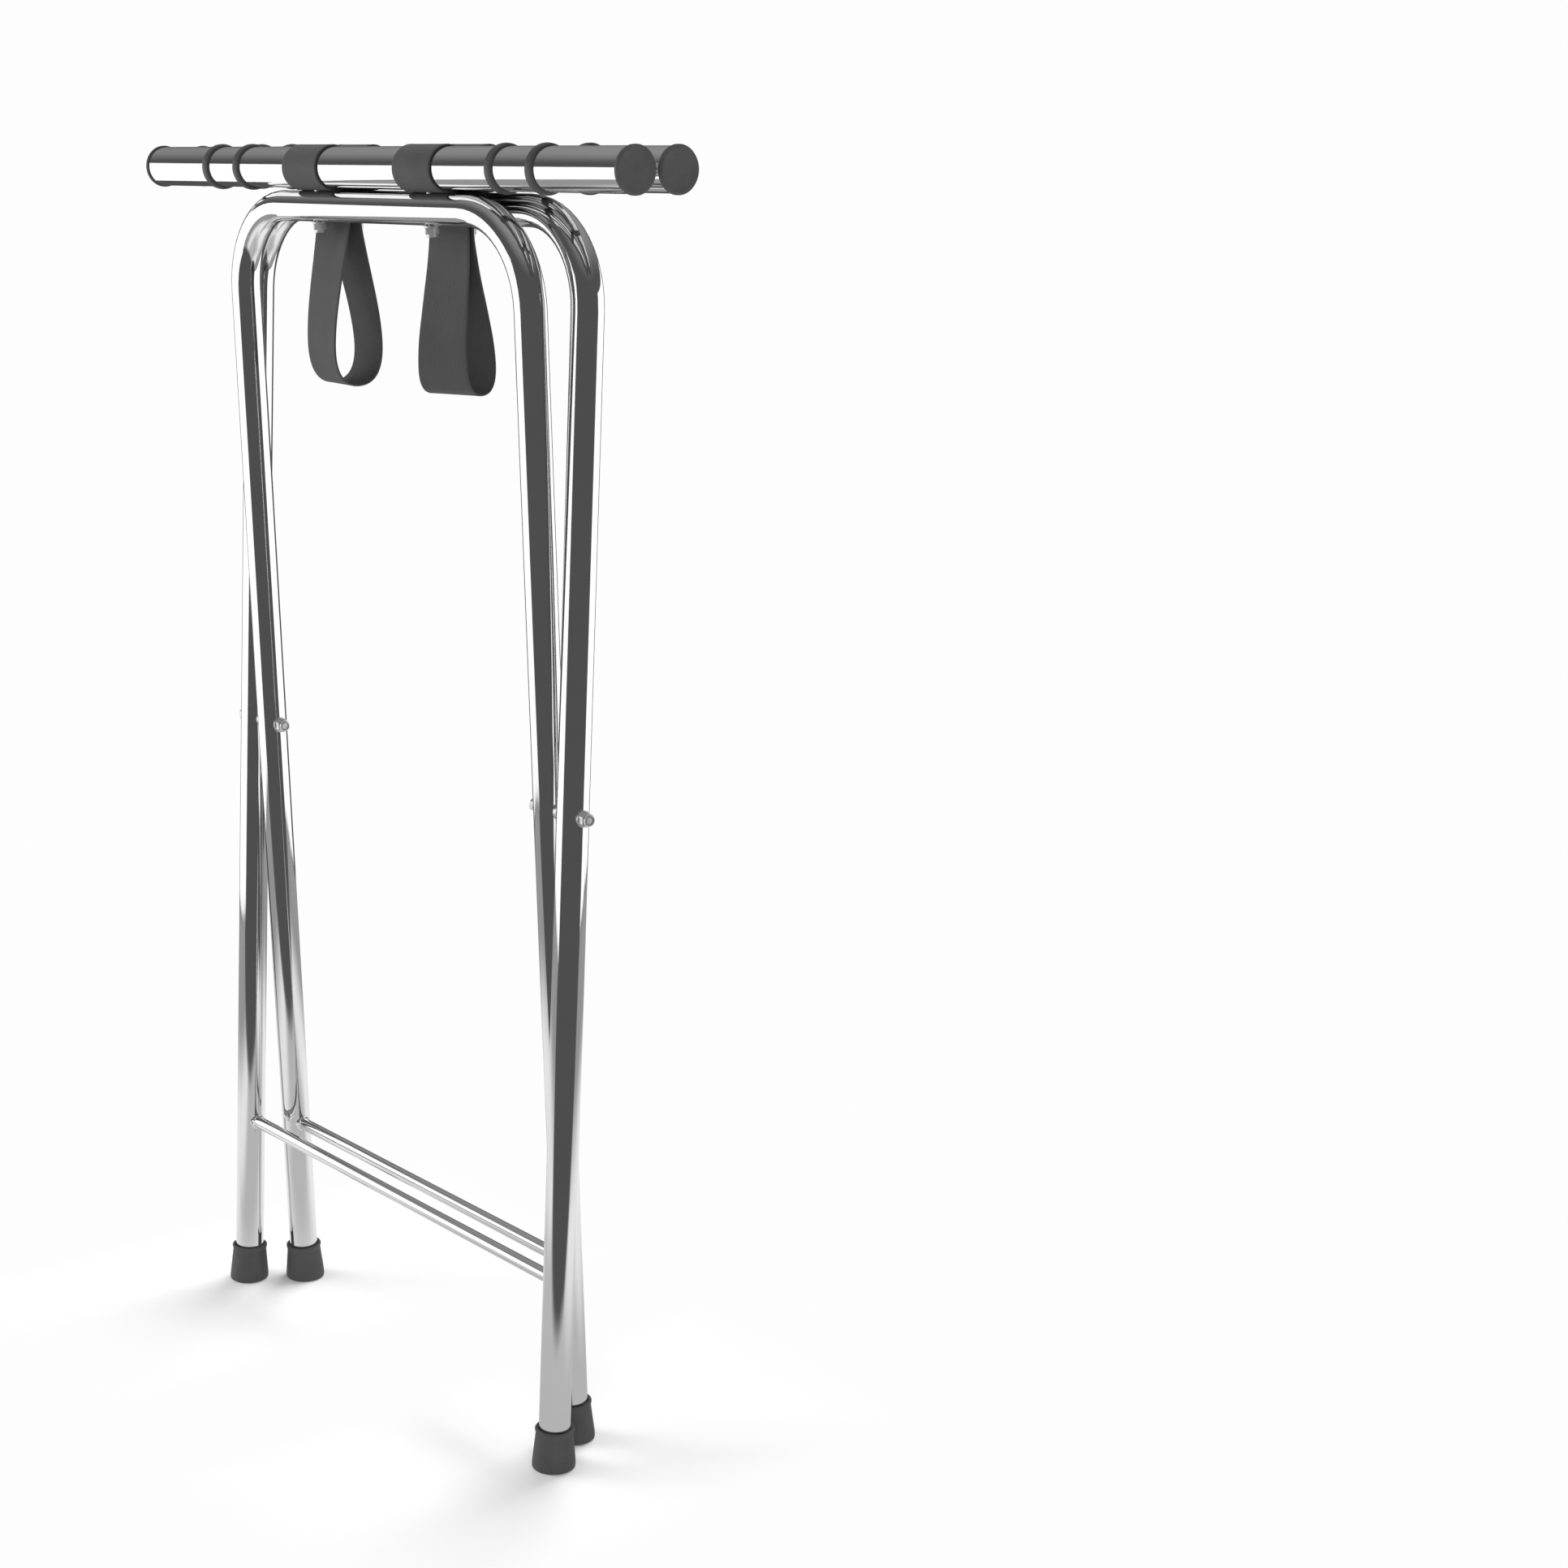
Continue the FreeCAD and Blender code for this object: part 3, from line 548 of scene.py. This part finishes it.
def make_strap(one, label, side):
    """One half of a strap: from its end under the rail to the middle of the hanging loop."""
    rows = strap_rows(one, label)
    seam = seam_place(label)
    section = strap_section()
    middle_x = middle(f"{one.name}_strap_{label}").x
    hang = one.top.z - seam.y
    points = []
    places = []
    rings = []
    for here, tangent, length, share in rows:
        out = Vector((-tangent.y, tangent.x))
        sink = min(1.0, max(0.0, (one.top.z - here.y) / hang))
        turn = LOOPS[label].turn * sink
        drift = EDGE_DRIFT * noise.noise(Vector((length * 60, side * 3.1, one.side * 5.7)))
        ring = []
        for x, lift in section:
            y = here.x + out.x * lift * share - seam.x
            across = (x + drift) * math.cos(turn) - y * math.sin(turn) * SIDE_SWING
            inward = (x + drift) * math.sin(turn) + y * math.cos(turn)
            ring.append(len(points))
            points.append(Vector((middle_x + across, seam.x + inward, here.y + out.y * lift * share)))
            places.append((x, length))
        rings.append(ring)
    faces = skin(rings, joined_ends=False)
    mesh = mesh_from(f"{one.name}_web_{label}", points, faces, sharp_angle=60)
    layer = mesh.uv_layers.new(name="strap")
    for loop in mesh.loops:
        layer.data[loop.index].uv = places[loop.vertex_index]
    piece = new_piece(f"{one.name}_web_{label}", mesh, webbing)
    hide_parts(f"{one.name}_strap_{label}", f"{one.name}_strap_bottom_{label}")
    give_strap(piece)


def give_strap(piece):
    """Bake the strap half's placement into its mesh."""
    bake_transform(piece)


for one in FRAMES:
    for label, side in SIDES:
        make_strap(one, label, side)


# ---------------------------------------------------------------- rubber bands and end caps
ROUND_STEPS = 128               # round a band or a cap
BAND_STEPS = 22                 # over a band's crown, from edge to edge
BAND_FULLNESS = 0.62            # below 1 the crown is flatter than a half circle
BAND_WIDTH_SHARE = 0.999        # keeps the band inside its box
BAND_RIPPLE = 0.00018           # how far a band wanders along the rail


def make_rings(one):
    """Rubber bands round the rail, rounded and a little wavy, as moulded."""
    for number in range(1, 5):
        node = f"{one.name}_rail_ring_{number}"
        low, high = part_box(node)
        rise = (high.z - low.z) / 2 - RAIL_RADIUS
        half = (high.x - low.x) / 2 * BAND_WIDTH_SHARE
        turns = [math.pi * step / BAND_STEPS for step in range(BAND_STEPS + 1)]
        profile = [(RAIL_RADIUS + rise * math.sin(turn) ** BAND_FULLNESS, half * math.cos(turn))
                   for turn in turns]

        def ripple(index, angle, radius, height):
            place = Vector((3 * math.cos(angle), 3 * math.sin(angle), number + one.side))
            return radius, height + BAND_RIPPLE * noise.noise(place)

        along_rail = axis_place(middle(node), Vector((1, 0, 0)))
        points, faces = lathe(profile, along_rail, ROUND_STEPS, ripple)
        riding_piece(f"{one.name}_band_{number}", points, faces, ring_rubber,
                     one.body, node, sharp_angle=50)


PLUG_INSET = 0.00125            # from the rail's outside to the plug: the wall and a little play
DISH_DEPTH = 0.00045            # of a cap's outer face
CAP_ROUNDING = 0.0004


def make_caps(one):
    """Moulded end caps: a flange with a fine step, a slightly dished face, and the plug."""
    for label, side in SIDES:
        node = f"{one.name}_rail_cap_{label}"
        low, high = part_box(node)
        radius = (high.z - low.z) / 2
        tip = high.x if side > 0 else -low.x
        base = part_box(f"{one.name}_rail")[1].x
        thick = tip - base
        plug = tip - (high.x - low.x)
        corners = [
            (0.0, plug + 0.002, 0),
            (RAIL_RADIUS - 0.0030, plug, 1),
            (RAIL_RADIUS - PLUG_INSET, plug + 0.001, 1),
            (RAIL_RADIUS - PLUG_INSET, base, 0.2),
            (radius, base + 0.00005, 1),
            (radius, base + thick * 0.62, 1),
            (radius - 0.00055, base + thick * 0.70, 0.6),
            (radius - 0.00070, tip - 0.0001, 2.2),
            (radius - 0.0040, tip - DISH_DEPTH, 1),
            (0.0, tip - DISH_DEPTH, 0),
        ]
        outward = axis_place(Vector((0, one.rail.y, one.rail.z)), Vector((side, 0, 0)))
        points, faces = lathe(rounded(corners, CAP_ROUNDING), outward, ROUND_STEPS)
        riding_piece(f"{one.name}_cap_{label}", points, faces, cap_plastic,
                     one.body, node, sharp_angle=35)


# ---------------------------------------------------------------- feet
FOOT_STEPS = 96
FOOT_HEIGHT_SHARE = 0.984       # of the CAD foot's height
FOOT_TAPER = 0.0019             # from the base's radius to the neck's, below the lip
LEVEL_HEIGHT = 0.010            # the foot turns from level to square with the leg up to here
SOLE_THICKNESS = 0.005          # below the leg's end
FOOT_ROUNDING = 0.0005


def make_feet(one):
    """Tapered rubber feet with a rolled lip, upright on the floor and in line with the leg."""
    for label, _ in SIDES:
        node = f"{one.name}_foot_{label}"
        low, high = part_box(node)
        base = (high.x - low.x) / 2
        height = high.z * FOOT_HEIGHT_SHARE
        neck = base - FOOT_TAPER
        corners = [
            (0.0, 0.0, 0),
            (base - 0.0002, 0.0, 2.4),
            (base - 0.0001, 0.0030, 2.4),
            (neck, height - 0.0034, 4),
            (neck + 0.0007, height - 0.0012, 2),
            (neck + 0.0002, height, 2),
            (TUBE_RADIUS + 0.0002, height - 0.0004, 1.5),
            (TUBE_RADIUS - 0.0001, height - 0.0022, 1),
            (TUBE_RADIUS - 0.0001, SOLE_THICKNESS, 0),
            (0.0, SOLE_THICKNESS, 0),
        ]
        foot = Vector(((low.x + high.x) / 2, (low.y + high.y) / 2, 0))
        along = Vector((foot.x, 0, PIVOT.z)) - foot
        along = along / along.z
        points = []
        rings = []
        for radius, up in rounded(corners, FOOT_ROUNDING):
            square = min(1.0, up / LEVEL_HEIGHT)
            centre = foot + along * up
            ring = []
            for step in range(FOOT_STEPS):
                angle = 2 * math.pi * step / FOOT_STEPS
                y = radius * math.sin(angle)
                ring.append(len(points))
                points.append(centre + Vector((radius * math.cos(angle), y, -along.y * y * square)))
            rings.append(ring)
        faces = skin(rings, joined_ends=True)
        riding_piece(f"{one.name}_boot_{label}", points, faces, foot_rubber,
                     one.body, node, sharp_angle=50)


for one in FRAMES:
    make_rings(one)
    make_caps(one)
    make_feet(one)


# ---------------------------------------------------------------- fasteners
HEX_STEPS = 72
NUTS_LOW, NUTS_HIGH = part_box("front_rail_nuts")
NUT_FLATS = NUTS_HIGH.y - NUTS_LOW.y
BOLT_RADIUS = 0.0025
NUT_HEIGHT = 0.0038
COLLAR_RADIUS = 0.0036
COLLAR_HEIGHT = 0.0018
WASHER_RADIUS = 0.005
WASHER_THICKNESS = 0.001
HEX_HEAD_HEIGHT = 0.0035
CORNER_SHARE = 1.128            # a hexagon's corners are worn off at this share of half the flats
CHAMFER_SLOPE = 0.58            # fall of the chamfer over its run
THREAD_PITCH = 0.0008
THREAD_DEPTH = 0.0004
THREAD_TURNS = 6                # drawn near a shank's end
POINT_LENGTH = 0.0008           # bare end of a shank, beyond its thread
SHANK_STEPS = 48
WASHER_STEPS = 64
WASHER_ROUNDING = 0.00025


def hexagonal(flats, chamfered):
    """Lathe shape that turns the profile's widest radius into a hexagon with worn-off corners.

    chamfered gives, for a profile index, +1 where its corners fall and -1 where they rise.
    """
    half = flats / 2

    def shape(index, angle, radius, height):
        if radius < half - NO_SIZE:
            return radius, height
        corner = (angle + math.pi / 6) % (math.pi / 3) - math.pi / 6
        reach = min(half / math.cos(corner), half * CORNER_SHARE)
        return reach, height - CHAMFER_SLOPE * (reach - half) * chamfered.get(index, 0)

    return shape


def lock_nut(place):
    """Hexagon nut with chamfered corners and a rolled collar round its nylon ring."""
    half = NUT_FLATS / 2
    top = NUT_HEIGHT + COLLAR_HEIGHT
    profile = [
        (BOLT_RADIUS, 0.0),
        (half * 0.97, 0.0),
        (half, 0.00012),
        (half, NUT_HEIGHT - 0.0001),
        (half * 0.97, NUT_HEIGHT),
        (COLLAR_RADIUS, NUT_HEIGHT + 0.0001),
        (COLLAR_RADIUS, top - 0.0007),
        (COLLAR_RADIUS - 0.0002, top - 0.0002),
        (COLLAR_RADIUS - 0.0006, top),
        (BOLT_RADIUS + 0.0004, top - 0.00015),
        (BOLT_RADIUS + 0.0002, top - 0.0007),
        (BOLT_RADIUS, top - 0.0010),
    ]
    return lathe(profile, place, HEX_STEPS, hexagonal(NUT_FLATS, {2: -1, 3: 1}))


def washer(place):
    corners = [
        (BOLT_RADIUS + 0.0001, 0.0, 1),
        (WASHER_RADIUS, 0.0, 1),
        (WASHER_RADIUS, WASHER_THICKNESS, 1),
        (BOLT_RADIUS + 0.0001, WASHER_THICKNESS, 1),
    ]
    return lathe(rounded(corners, WASHER_ROUNDING, steps=3), place, WASHER_STEPS)


def hex_head(place):
    """Bolt head that stands down from the place's origin, chamfered on its far side."""
    half = NUT_FLATS / 2
    profile = [
        (0.0, -HEX_HEAD_HEIGHT + 0.00025),
        (half * 0.55, -HEX_HEAD_HEIGHT + 0.00025),
        (half * 0.62, -HEX_HEAD_HEIGHT),
        (half * 0.96, -HEX_HEAD_HEIGHT),
        (half, -HEX_HEAD_HEIGHT + 0.0001),
        (half, -0.00005),
        (half * 0.98, 0.0),
        (0.0, 0.0),
    ]
    return lathe(profile, place, HEX_STEPS, hexagonal(NUT_FLATS, {4: -1}))


def shank(place, length):
    """Bolt shank with a chamfered end and thread turns near it."""
    thread = length - POINT_LENGTH - THREAD_TURNS * THREAD_PITCH
    profile = [
        (0.0, 0.0),
        (BOLT_RADIUS, 0.0),
        (BOLT_RADIUS, thread),
    ]
    for turn in range(THREAD_TURNS):
        start = thread + turn * THREAD_PITCH
        profile += [
            (BOLT_RADIUS, start + THREAD_PITCH * 0.30),
            (BOLT_RADIUS - THREAD_DEPTH, start + THREAD_PITCH * 0.75),
        ]
    profile += [
        (BOLT_RADIUS - 0.0001, length - 0.0006),
        (BOLT_RADIUS - 0.0006, length),
        (0.0, length),
    ]
    return lathe(profile, place, SHANK_STEPS)


def fastener_piece(name, parts, body, replaced):
    points, faces = merge(parts)
    riding_piece(name, points, faces, steel, body, replaced, sharp_angle=32)


def make_rail_nuts(one):
    nuts = []
    washers = []
    washer_top = one.on_plane((one.top - PIVOT).length - TUBE_RADIUS)
    strap_x = middle(f"{one.name}_strap_right").x
    for _, side in SIDES:
        across = Vector((side * strap_x, 0, 0))
        nut_top = washer_top - one.up * WASHER_THICKNESS + across
        nuts.append(lock_nut(axis_place(nut_top, -one.up)))
        washers.append(washer(axis_place(nut_top, one.up)))
    fastener_piece(f"{one.name}_lock_nuts", nuts, one.body, f"{one.name}_rail_nuts")
    fastener_piece(f"{one.name}_plain_washers", washers, one.body, f"{one.name}_rail_washers")


def make_pivot_set():
    """Heads, shanks, washers and nuts on the pivot axis; both bolts point along +X."""
    stack = NUT_HEIGHT + COLLAR_HEIGHT
    bolts_low, bolts_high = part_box("pivot_bolts")
    left_head = bolts_low.x + HEX_HEAD_HEIGHT
    left_nut, nut_end = (corner.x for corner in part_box("pivot_nuts"))
    right_nut = nut_end - stack
    right_head = right_nut - (left_nut - left_head)
    recess = nut_end - bolts_high.x
    bolts = []
    washers = []
    nuts = []

    def at(x):
        return axis_place(Vector((x, PIVOT.y, PIVOT.z)), Vector((1, 0, 0)))

    for head_face, nut_face in ((left_head, left_nut), (right_head, right_nut)):
        bolts.append(hex_head(at(head_face)))
        bolts.append(shank(at(head_face), nut_face + stack - recess - head_face))
        washers.append(washer(at(head_face)))
        washers.append(washer(at(nut_face - WASHER_THICKNESS)))
        nuts.append(lock_nut(at(nut_face)))
    fastener_piece("pivot_hex_bolts", bolts, "pivot", "pivot_bolts")
    fastener_piece("pivot_plain_washers", washers, "pivot", "pivot_washers")
    fastener_piece("pivot_lock_nuts", nuts, "pivot", "pivot_nuts")


for one in FRAMES:
    make_rail_nuts(one)
make_pivot_set()


# ---------------------------------------------------------------- weld beads
WELD_STEPS = 72                 # round the rod
WELD_ROWS = 9                   # from the rod to the leg
WELD_REACH = 0.0030             # along the rod
WELD_SUNK = 0.0004              # into the leg
WELD_MARGIN = 0.0006            # kept free inside the box
WELD_CLOSE = 0.0003             # how far the bead starts inside the rod's surface
WAVE_DEPTH = 0.00022            # of the bead's regular ripples
LUMP_DEPTH = 0.00025            # of its uneven lumps


def weld_ripple(angle, t, seed):
    """How far the bead's surface stands out, at a share t of the way from the rod to the leg."""
    wave = math.sin(angle * 11 + 5 * t) * math.sin(math.pi * min(1.0, t * 1.1))
    lump = noise.noise(Vector((2 * math.cos(angle), 2 * math.sin(angle), seed + t)))
    return (WAVE_DEPTH * wave + LUMP_DEPTH * lump) * min(1.0, 4 * t)


def make_welds(one):
    """A rippled fillet of weld where the cross rod meets each leg."""
    rod = middle(f"{one.name}_cross_rod")
    rod_low, rod_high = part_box(f"{one.name}_cross_rod")
    bead_low, bead_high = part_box(f"{one.name}_weld_beads")
    rod_radius = (rod_high.z - rod_low.z) / 2
    flare = (bead_high.z - bead_low.z) / 2 - WELD_MARGIN - rod_radius
    through = Vector((0, one.up.z, -one.up.y))
    parts = []
    for _, side in SIDES:
        points = []
        rings = []
        for row in range(WELD_ROWS):
            t = row / (WELD_ROWS - 1)
            inward = WELD_REACH * (1 - t) ** 1.6 - WELD_SUNK * t
            ring = []
            for step in range(WELD_STEPS):
                angle = 2 * math.pi * step / WELD_STEPS
                radius = rod_radius - WELD_CLOSE + flare * t ** 2.1 + weld_ripple(angle, t, side)
                y = radius * math.cos(angle)
                z = radius * math.sin(angle)
                beside = min(abs(y), 0.9 * TUBE_RADIUS)
                curve = TUBE_RADIUS - math.sqrt(TUBE_RADIUS ** 2 - beside ** 2)
                x = side * (rod_high.x + curve * t - inward)
                ring.append(len(points))
                points.append(Vector((x, rod.y, rod.z)) + one.up * z + through * y)
            rings.append(ring)
        parts.append((points, skin(rings, joined_ends=False)))
    points, faces = merge(parts)
    riding_piece(f"{one.name}_welds", points, faces, chrome_frame,
                 one.body, f"{one.name}_weld_beads", sharp_angle=60)


for one in FRAMES:
    make_welds(one)


# ---------------------------------------------------------------- looks of the kept CAD pieces
def dress(node, material):
    piece = nodes[node]
    piece.data.materials.clear()
    piece.data.materials.append(material)


for one in FRAMES:
    dress(f"{one.name}_frame_tube", chrome_frame)
    dress(f"{one.name}_cross_rod", chrome_rail)
    dress(f"{one.name}_rail", chrome_rail)
    dress(f"{one.name}_rail_bolts", steel)
dress("pivot_spacers", steel)


# ---------------------------------------------------------------- studio
FRONT = (CAMERA_PLACE - AIM).to_2d().normalized()
WHITE = (1, 1, 1, 1)
PAPER = (0.97, 0.97, 0.97, 1)
WHITE_CARD = 1.2
BACKGROUND = 0.985
DARK_ROOM = 0.085
CEILING_GLOW = 0.28
GLOW_BEHIND = 0.45              # how much the glow leans to the back
AMBIENT = 0.25
# painted reflection: base glow of the grey tabletop that reflections show on the floor
PAINTED_TABLE_GREY = 0.44
FLOOR_REACH = 9.0
CARD_DISTANCE = 1.27
CARD_TOP = 0.93
PAINTED_DARK_GAP = 0.05                # painted dark gap in the reflection, between the painted tabletop's edge and the cards
FOOT_TRACK = (FRAMES[0].leg_x + FRAMES[1].leg_x) / 2
CARD_ARCS = ((-143, -66), (73, 143))    # degrees from the front, seen from above
CARD_STEP = 3                   # degrees from one upright edge to the next


def smooth_step(tree, value, start, end, low=0.0, high=1.0):
    return remap(tree, value, low, high, start, end, "SMOOTHSTEP")


def mix_shaders(tree, factor, first, second):
    node = tree.nodes.new("ShaderNodeMixShader")
    tree.links.new(factor, node.inputs[0])
    tree.links.new(first.outputs[0], node.inputs[1])
    tree.links.new(second.outputs[0], node.inputs[2])
    return node


def make_world():
    """White round the stand; in reflections a dark room with a faint glow overhead."""
    world = bpy.data.worlds.new("studio")
    bpy.context.scene.world = world
    world.use_nodes = True
    tree = world.node_tree
    tree.nodes.clear()
    direction = tree.nodes.new("ShaderNodeTexCoord").outputs["Generated"]
    split = add_node(tree, "ShaderNodeSeparateXYZ", Vector=direction)
    behind = mixture(tree, (split.outputs["X"], -FRONT.x), (split.outputs["Y"], -FRONT.y))
    raised = mixture(tree, (split.outputs["Z"], 1.0),
                     (math_node(tree, "MAXIMUM", behind, 0.0), GLOW_BEHIND))
    glow = smooth_step(tree, raised, 0.40, 0.95, DARK_ROOM, CEILING_GLOW)
    mirrored = add_node(tree, "ShaderNodeBackground", Color=glow)
    plain = add_node(tree, "ShaderNodeBackground", {"Color": WHITE, "Strength": BACKGROUND})
    ambient = add_node(tree, "ShaderNodeBackground", {"Color": WHITE, "Strength": AMBIENT})
    path = tree.nodes.new("ShaderNodeLightPath")
    others = mix_shaders(tree, path.outputs["Is Glossy Ray"], ambient, mirrored)
    seen = mix_shaders(tree, path.outputs["Is Camera Ray"], others, plain)
    show(tree, seen, "ShaderNodeOutputWorld")


def ground_places(tree):
    """How far a floor place is forward, aside, out, from the feet's tracks, and along them."""
    split = add_node(tree, "ShaderNodeSeparateXYZ", Vector=object_coordinates(tree))
    x = split.outputs["X"]
    y = split.outputs["Y"]
    forward = mixture(tree, (x, FRONT.x), (y, FRONT.y))
    aside = mixture(tree, (x, -FRONT.y), (y, FRONT.x))
    square = math_node(tree, "ADD", math_node(tree, "POWER", x, 2.0),
                       math_node(tree, "POWER", y, 2.0))
    from_feet = math_node(tree, "SUBTRACT", math_node(tree, "ABSOLUTE", x), FOOT_TRACK)
    return (forward, math_node(tree, "ABSOLUTE", aside), math_node(tree, "SQRT", square),
            math_node(tree, "ABSOLUTE", from_feet), math_node(tree, "ABSOLUTE", y))


def studio_piece(name, points, faces, material):
    mesh = bpy.data.meshes.new(name)
    mesh.from_pydata(points, [], faces)
    mesh.materials.append(material)
    piece = bpy.data.objects.new(name, mesh)
    bpy.context.scene.collection.objects.link(piece)
    return piece


def make_floor():
    """Pale floor that fades into the white round it; in reflections it glows as a painted grey
    tabletop, with painted light behind, to the sides and near the stand, and darker in front and in a
    gap at its edge.
    """
    material, tree = empty_material("floor")
    forward, aside, distance, from_track, along_track = ground_places(tree)
    # Painted reflection of a tabletop under lamps: painted light behind and to the sides, fading with
    # distance from the stand.
    painted_light_behind = smooth_step(tree, forward, -0.22, 0.02, 0.40, 0.0)
    painted_light_aside = smooth_step(tree, aside, 0.20, 0.42, 0.0, 0.36)
    painted_table_reflection = math_node(tree, "MULTIPLY",
                      math_node(tree, "ADD", math_node(tree, "MAXIMUM", painted_light_behind, painted_light_aside), PAINTED_TABLE_GREY),
                      smooth_step(tree, distance, 0.5, 0.85, 1.0, 0.30))
    # Painted shade in the reflection: a dark gap at the tabletop's edge, and the tabletop darker in
    # front of the stand.
    painted_table_edge = smooth_step(tree, distance, CARD_DISTANCE - PAINTED_DARK_GAP,
                             CARD_DISTANCE - PAINTED_DARK_GAP * 0.8, 1.0, 0.0)
    painted_lit_share = math_node(tree, "MULTIPLY", smooth_step(tree, forward, 0.32, 0.42, 1.0, 0.0), painted_table_edge)
    shade = math_node(tree, "ADD", math_node(tree, "MULTIPLY", painted_table_reflection, painted_lit_share), DARK_ROOM)
    mirrored = add_node(tree, "ShaderNodeEmission", Color=shade)
    paper = add_node(tree, "ShaderNodeBsdfDiffuse", {"Color": PAPER})
    backdrop = add_node(tree, "ShaderNodeEmission", {"Color": WHITE, "Strength": BACKGROUND})
    path = tree.nodes.new("ShaderNodeLightPath")
    away = math_node(tree, "MAXIMUM", smooth_step(tree, along_track, 0.05, 0.22),
                     smooth_step(tree, from_track, 0.045, 0.12))
    fade = mix_shaders(tree, away, paper, backdrop)
    show(tree, mix_shaders(tree, path.outputs["Is Glossy Ray"], fade, mirrored))
    corners = [(-FLOOR_REACH, -FLOOR_REACH, 0), (FLOOR_REACH, -FLOOR_REACH, 0),
               (FLOOR_REACH, FLOOR_REACH, 0), (-FLOOR_REACH, FLOOR_REACH, 0)]
    floor = studio_piece("floor", corners, [(0, 1, 2, 3)], material)


def make_cards():
    """Curved white cards on both sides of the stand, which only reflections show."""
    points = []
    faces = []
    front = math.atan2(FRONT.y, FRONT.x)
    for first, last in CARD_ARCS:
        count = round((last - first) / CARD_STEP)
        start = len(points)
        for step in range(count + 1):
            angle = front + math.radians(first + (last - first) * step / count)
            x = CARD_DISTANCE * math.cos(angle)
            y = CARD_DISTANCE * math.sin(angle)
            points += [(x, y, 0.0), (x, y, CARD_TOP)]
        faces += [(index, index + 2, index + 3, index + 1)
                  for index in range(start, start + 2 * count, 2)]
    material, tree = empty_material("white_card")
    show(tree, add_node(tree, "ShaderNodeEmission", {"Color": WHITE, "Strength": WHITE_CARD}))
    cards = studio_piece("white_cards", points, faces, material)
    cards.visible_camera = False
    cards.visible_diffuse = False
    cards.visible_shadow = False
    cards.visible_transmission = False


SOFTBOXES = (                   # name, place, target, size, watts
    ("key", (-0.3, 0.8, 2.1), (0, 0, 0.1), 0.8, 27),
    ("front_key", (-0.7, -0.9, 1.6), (0, 0, 0.1), 0.7, 7),
    ("right_fill", (1.7, -1.0, 0.9), (0, 0, 0.5), 1.2, 15),
    ("left_fill", (-1.75, -1.0, 0.9), (0, 0, 0.5), 1.2, 19),
)


def add_softbox(name, place, target, size, power):
    data = bpy.data.lights.new(name, "AREA")
    data.shape = "SQUARE"
    data.size = size
    data.energy = power
    light = bpy.data.objects.new(name, data)
    light.location = place
    light.rotation_euler = (Vector(target) - Vector(place)).to_track_quat("-Z", "Y").to_euler()
    light.visible_glossy = False
    light.visible_camera = False
    bpy.context.scene.collection.objects.link(light)


make_world()
make_floor()
make_cards()
for softbox in SOFTBOXES:
    add_softbox(*softbox)
bpy.context.scene.view_settings.view_transform = "Standard"
